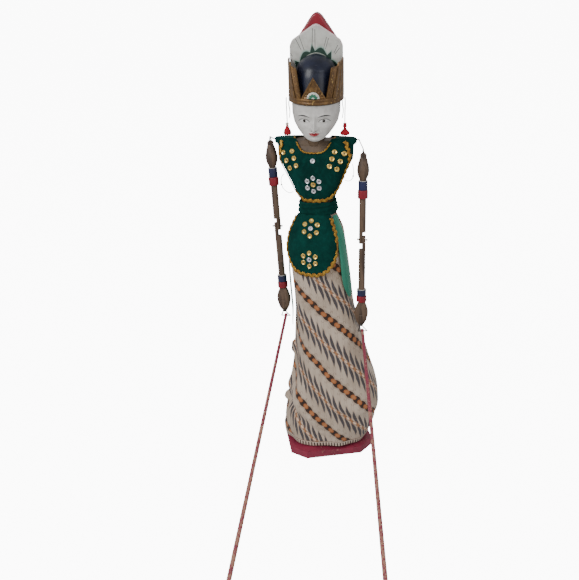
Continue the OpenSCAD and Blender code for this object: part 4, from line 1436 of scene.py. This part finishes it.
def fanPaint(name, s):
    f = Finish(name, Coat_Weight=0.3, Coat_Roughness=0.2)
    uv, x, z = f.sheetPlace()
    at = f.place()
    grime = f.clouds(at, 120, 4, 0.62)
    tone = f.blend(f.step(grime, 0.35, 0.7), (0.56, 0.56, 0.52), (0.46, 0.455, 0.42))
    # distance outside the dome's outline, in millimetres, and the way round it
    u, v = x / s["domeX"], (z - s["foot"]) / s["domeZ"]
    reach = ((u * u + v * v).calc("SQRT") - 1) * 40
    turn = u.calc("ARCTAN2", v)
    hump = ((turn - s["first"]) * (2 * math.pi / s["beat"])).calc("COSINE")
    spike = abs(((turn - s["first"]) / s["beat"]) % 1.0 - 0.5)
    leaf = longest(hump * 2.6 + 4.2, (0.17 - spike) * 52 + 1.0)
    edge = reach - leaf
    tone = f.blend((1 - f.step(edge, 0.2, 3.2)) * 0.55, tone, (0.10, 0.30, 0.24))
    tone = f.blend((1 - f.step(edge, -0.5, 0.5)), tone, (0.001, 0.030, 0.018))
    tone = f.blend(f.near(reach - 0.5, 0.45, 0.2) * 0.7, tone, (0.50, 0.52, 0.47))
    marks = None
    for (ax, az), (bx, bz) in s["lines"]:
        dx, dz = bx - ax, bz - az
        size = math.hypot(dx, dz)
        px, pz = x * 1000 - ax, z * 1000 - az
        t = (px * (dx / size) + pz * (dz / size))
        off = px * (dz / size) - pz * (dx / size)
        body = f.near(off, 0.30, 0.16) * f.near(t - size / 2, size / 2, 0.6)
        marks = body if marks is None else longest(marks, body)
    tone = f.blend(marks * (x < 0.5) * 0.92, tone, (0.012, 0.010, 0.010))
    f.colour(tone)
    f.rough(0.3 + grime * 0.2)
    f.bump(grime, 0.2, 0.0005)
    return f.material


fan = eased("crest_fan", 0.0017, 3, 20)
paintPlace(fan, 0.0095)
finished(fan, "crestFan", "head", fanPaint("fanPaint", fanSet), "white_paint", "crest_fan")
# its upward-facing top edge, painted lighter and pinker than the white: a painted highlight
fan.data.materials.append(speckled("pinkRimHighlight", (0.80, 0.66, 0.66), (0.60, 0.44, 0.45), 200, 3, (0.1, 0.0003),
                                   (0.3, 0.2), Coat_Weight=0.3, Coat_Roughness=0.2))
for face in fan.data.polygons:
    p, n = headAway @ face.center, headAway.to_3x3() @ face.normal
    if n.z > 0.25 and n.y < 0.95 and p.z > 0.56:
        face.material_index = 1
redGloss = paintedWood("redGloss", (0.27, 0.0, 0.014), (0.19, 0.0, 0.010), (0.40, 0.10, 0.10), 0.3, 0.74, 0.3, 0.3)
finished(eased("crest_back", 0.0030, 4, 25), "crestBack", "head", redGloss, "red_paint", "crest_back")
brownPaint = paintedWood("brownPaint", (0.115, 0.070, 0.036), (0.060, 0.036, 0.019), (0.22, 0.15, 0.09), 0.5, 0.66)
for node in ("main_rod", "stop_collar", "neck", "torso"):
    dressed(node, brownPaint)
print("crest ready")

# arms
armSet = {"l": {"x": -0.061, "z": 0.4361, "lean": -2.9, "side": -1},
          "r": {"x": 0.0623, "z": 0.4216, "lean": 1.2, "side": 1}, "forward": 4}
handSet = {"wrist": -0.199, "tip": -0.234, "slit": -0.2165, "grooves": (-4.6, -1.5, 1.6, 4.7)}


def armPlace(side):
    s = armSet[side]
    return (Matrix.Translation((s["x"], 0, s["z"])) @ Matrix.Rotation(math.radians(s["lean"]), 4, "Y")
            @ Matrix.Rotation(math.radians(-armSet["forward"]), 4, "X") @ Matrix.Scale(s["side"], 4, (1, 0, 0)))


wood = armWood("armWood")
bandBlue = paintedWood("bandBlue", (0.008, 0.014, 0.075), (0.004, 0.007, 0.040), (0.15, 0.13, 0.15),
                       0.42, 0.66, 0.5, 0.15)
bandRed = paintedWood("bandRed", (0.27, 0.002, 0.014), (0.16, 0.001, 0.010), (0.26, 0.10, 0.07),
                      0.40, 0.66, 0.5, 0.15)
whiteRing = speckled("whiteRing", (0.55, 0.54, 0.50), (0.30, 0.26, 0.22), 600, 3, (0.2, 0.0003),
                     spread=(0.4, 0.65), Roughness=0.5)
waxed = stringFinish("waxedString", (0.05, 0.040, 0.032), (0.022, 0.018, 0.015))


def upperArm(side):
    # the turned and whittled upper arm, with only its edges broken
    arm = eased("upper_arm_" + side, 0.0003, 2, 50)
    edited(arm, (bpy.ops.mesh.quads_convert_to_tris, {}))
    return arm


def carveHand(side):
    hand = softened("forearm_" + side, 0.00055, 3, 0.5)
    there = armPlace(side)
    away = there.inverted()
    top, tip = handSet["wrist"], handSet["tip"]
    for v in hand.data.vertices:
        p = away @ v.co
        if p.z < top + 0.001:
            t = max(0.0, min(1.0, (top - p.z) / (top - tip)))
            half = 0.0092 * (math.sin(math.pi * min(1, 0.30 + t * 0.72)) ** 0.7)
            u = max(-1.0, min(1.0, p.x / max(half, 0.001)))
            belly = 1 + 0.55 * math.sin(math.pi * min(1, t * 1.02)) ** 0.8
            crown = math.sqrt(max(0.0, 1 - u * u * 0.80))
            y = p.y * belly * mixed(1.0, crown, min(1, t * 5))
            x = p.x * 1000
            if abs(p.y) > 0.0015:
                deep = 0.0
                low = max(0.0, min(1.0, (t - 0.52) / 0.1)) * max(0.0, min(1.0, (1.0 - t) / 0.08))
                for g in handSet["grooves"]:
                    deep = max(deep, math.exp(-((x - g * (1.25 - 0.55 * t)) / 0.42) ** 2) * low)
                # an eye-shaped cut across the palm
                z = (p.z - handSet["slit"]) * 1000
                opened = math.exp(-((z - 0.25 * x) / (0.55 + 0.25 * bell(x, 0, 1.6))) ** 2)
                opened *= math.exp(-((x - 0.6) / 2.2) ** 4)
                y -= math.copysign(0.0006 * deep + (0.0011 * opened if p.y < 0 else 0), y)
            v.co = there @ Vector((p.x, y, p.z))
    smoothShade(hand)
    return hand


for side in ("l", "r"):
    finished(upperArm(side), "upperArm_" + side, "upper_arm_" + side, wood, "brown_paint", "upper_arm_" + side)
    finished(carveHand(side), "forearmCarved_" + side, "forearm_" + side, wood, "brown_paint", "forearm_" + side)
    for node, name, body, material, slot, edge in (
            ("armband_blue_", "armBlue_", "upper_arm_", bandBlue, "navy_paint", 0.0005),
            ("armband_red_", "armRed_", "upper_arm_", bandRed, "red_paint", 0.0021),
            ("wristband_blue_", "wristBlue_", "forearm_", bandBlue, "navy_paint", 0.0005),
            ("wristband_red_", "wristRed_", "forearm_", bandRed, "red_paint", 0.0017)):
        ring = eased(node + side, edge, 4, 40)
        finished(ring, name + side, body + side, material, slot, node + side)
        if "blue" in node:
            # its painted white line
            ring.data.materials.append(whiteRing)
            away = armPlace(side).inverted()
            top = max((away @ v.co).z for v in ring.data.vertices)
            for face in ring.data.polygons:
                if (away @ face.center).z > top - 0.0005:
                    face.material_index = 1
    dressed("shoulder_string_" + side, waxed)
    dressed("elbow_string_" + side, waxed)
    dressed("hand_string_" + side, waxed)
print("arms ready")

# hand rods
def wornRod(name, node):
    low, high = (Vector(p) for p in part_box(node))
    f = Finish(name)
    at = f.place()
    # turned so that the pattern runs along the rod
    span = high - low
    turn = math.atan2(span.x if node.endswith("r") else 0.0, span.y)
    along = f.node("ShaderNodeMapping", values={0: at, 2: (math.atan2(span.z, span.y), 0, turn)})
    fibres = f.clouds(f.scaled(along, 900, 40, 900), 1.0, 4)
    chips = f.clouds(f.scaled(along, 330, 75, 330), 1.0, 5, 0.72)
    broad = f.clouds(f.scaled(along, 60, 14, 60), 1.0, 2)
    far = f.axes(at)[2]
    worn = f.step(far, high.z, low.z + 0.04)
    bare = f.step(chips * 0.7 + broad * 0.3 + worn * 0.10, 0.545, 0.60)
    paint = f.blend(f.step(fibres, 0.3, 0.75), (0.30, 0.045, 0.075), (0.17, 0.020, 0.042))
    timber = f.blend(f.step(fibres, 0.35, 0.7), (0.43, 0.215, 0.145), (0.30, 0.125, 0.085))
    f.colour(f.blend(bare, paint, timber))
    f.rough(0.42 + bare * 0.2)
    f.bump(fibres * 0.5 - bare * 0.7, 0.3, 0.0004)
    return f.material


for side in ("l", "r"):
    dressed("hand_rod_" + side, wornRod("rodPaint_" + side, "hand_rod_" + side))

# knots of the loose threads at the sides of the bodice
knotSet = {"size": 0.0011, "l": (-0.0445, -0.0152, 0.3850), "r": (0.0505, -0.0108, 0.3975)}
for side in ("l", "r"):
    bpy.ops.object.select_all(action="DESELECT")
    bpy.ops.mesh.primitive_ico_sphere_add(subdivisions=3, radius=knotSet["size"], location=knotSet[side])
    knot = added("threadKnot_" + side)
    baked(knot)
    pushed(knot, lambda p: 0.0004 * noise.noise(p * 2300))
    smoothShade(knot)
    finished(knot, "threadKnot_" + side, "torso", darkThread, "dark_thread")
print("rods ready")

# floor
bpy.ops.object.select_all(action="DESELECT")
bpy.ops.mesh.primitive_plane_add(size=14, location=(0, 0, 0))
floor = added("floor")
# a plain white ground that neither lights nor shades the puppet
pale = Finish("paleFloor", Roughness=0.9, Specular_IOR_Level=0.0, Emission_Color=(1, 1, 1, 1),
              Emission_Strength=10)
dust = pale.clouds(pale.place(), 3, 2)
pale.colour(pale.blend(dust, (0.93, 0.93, 0.93), (0.90, 0.90, 0.90)))
floor.data.materials.append(pale.material)
floor.visible_diffuse = floor.visible_glossy = floor.visible_shadow = False
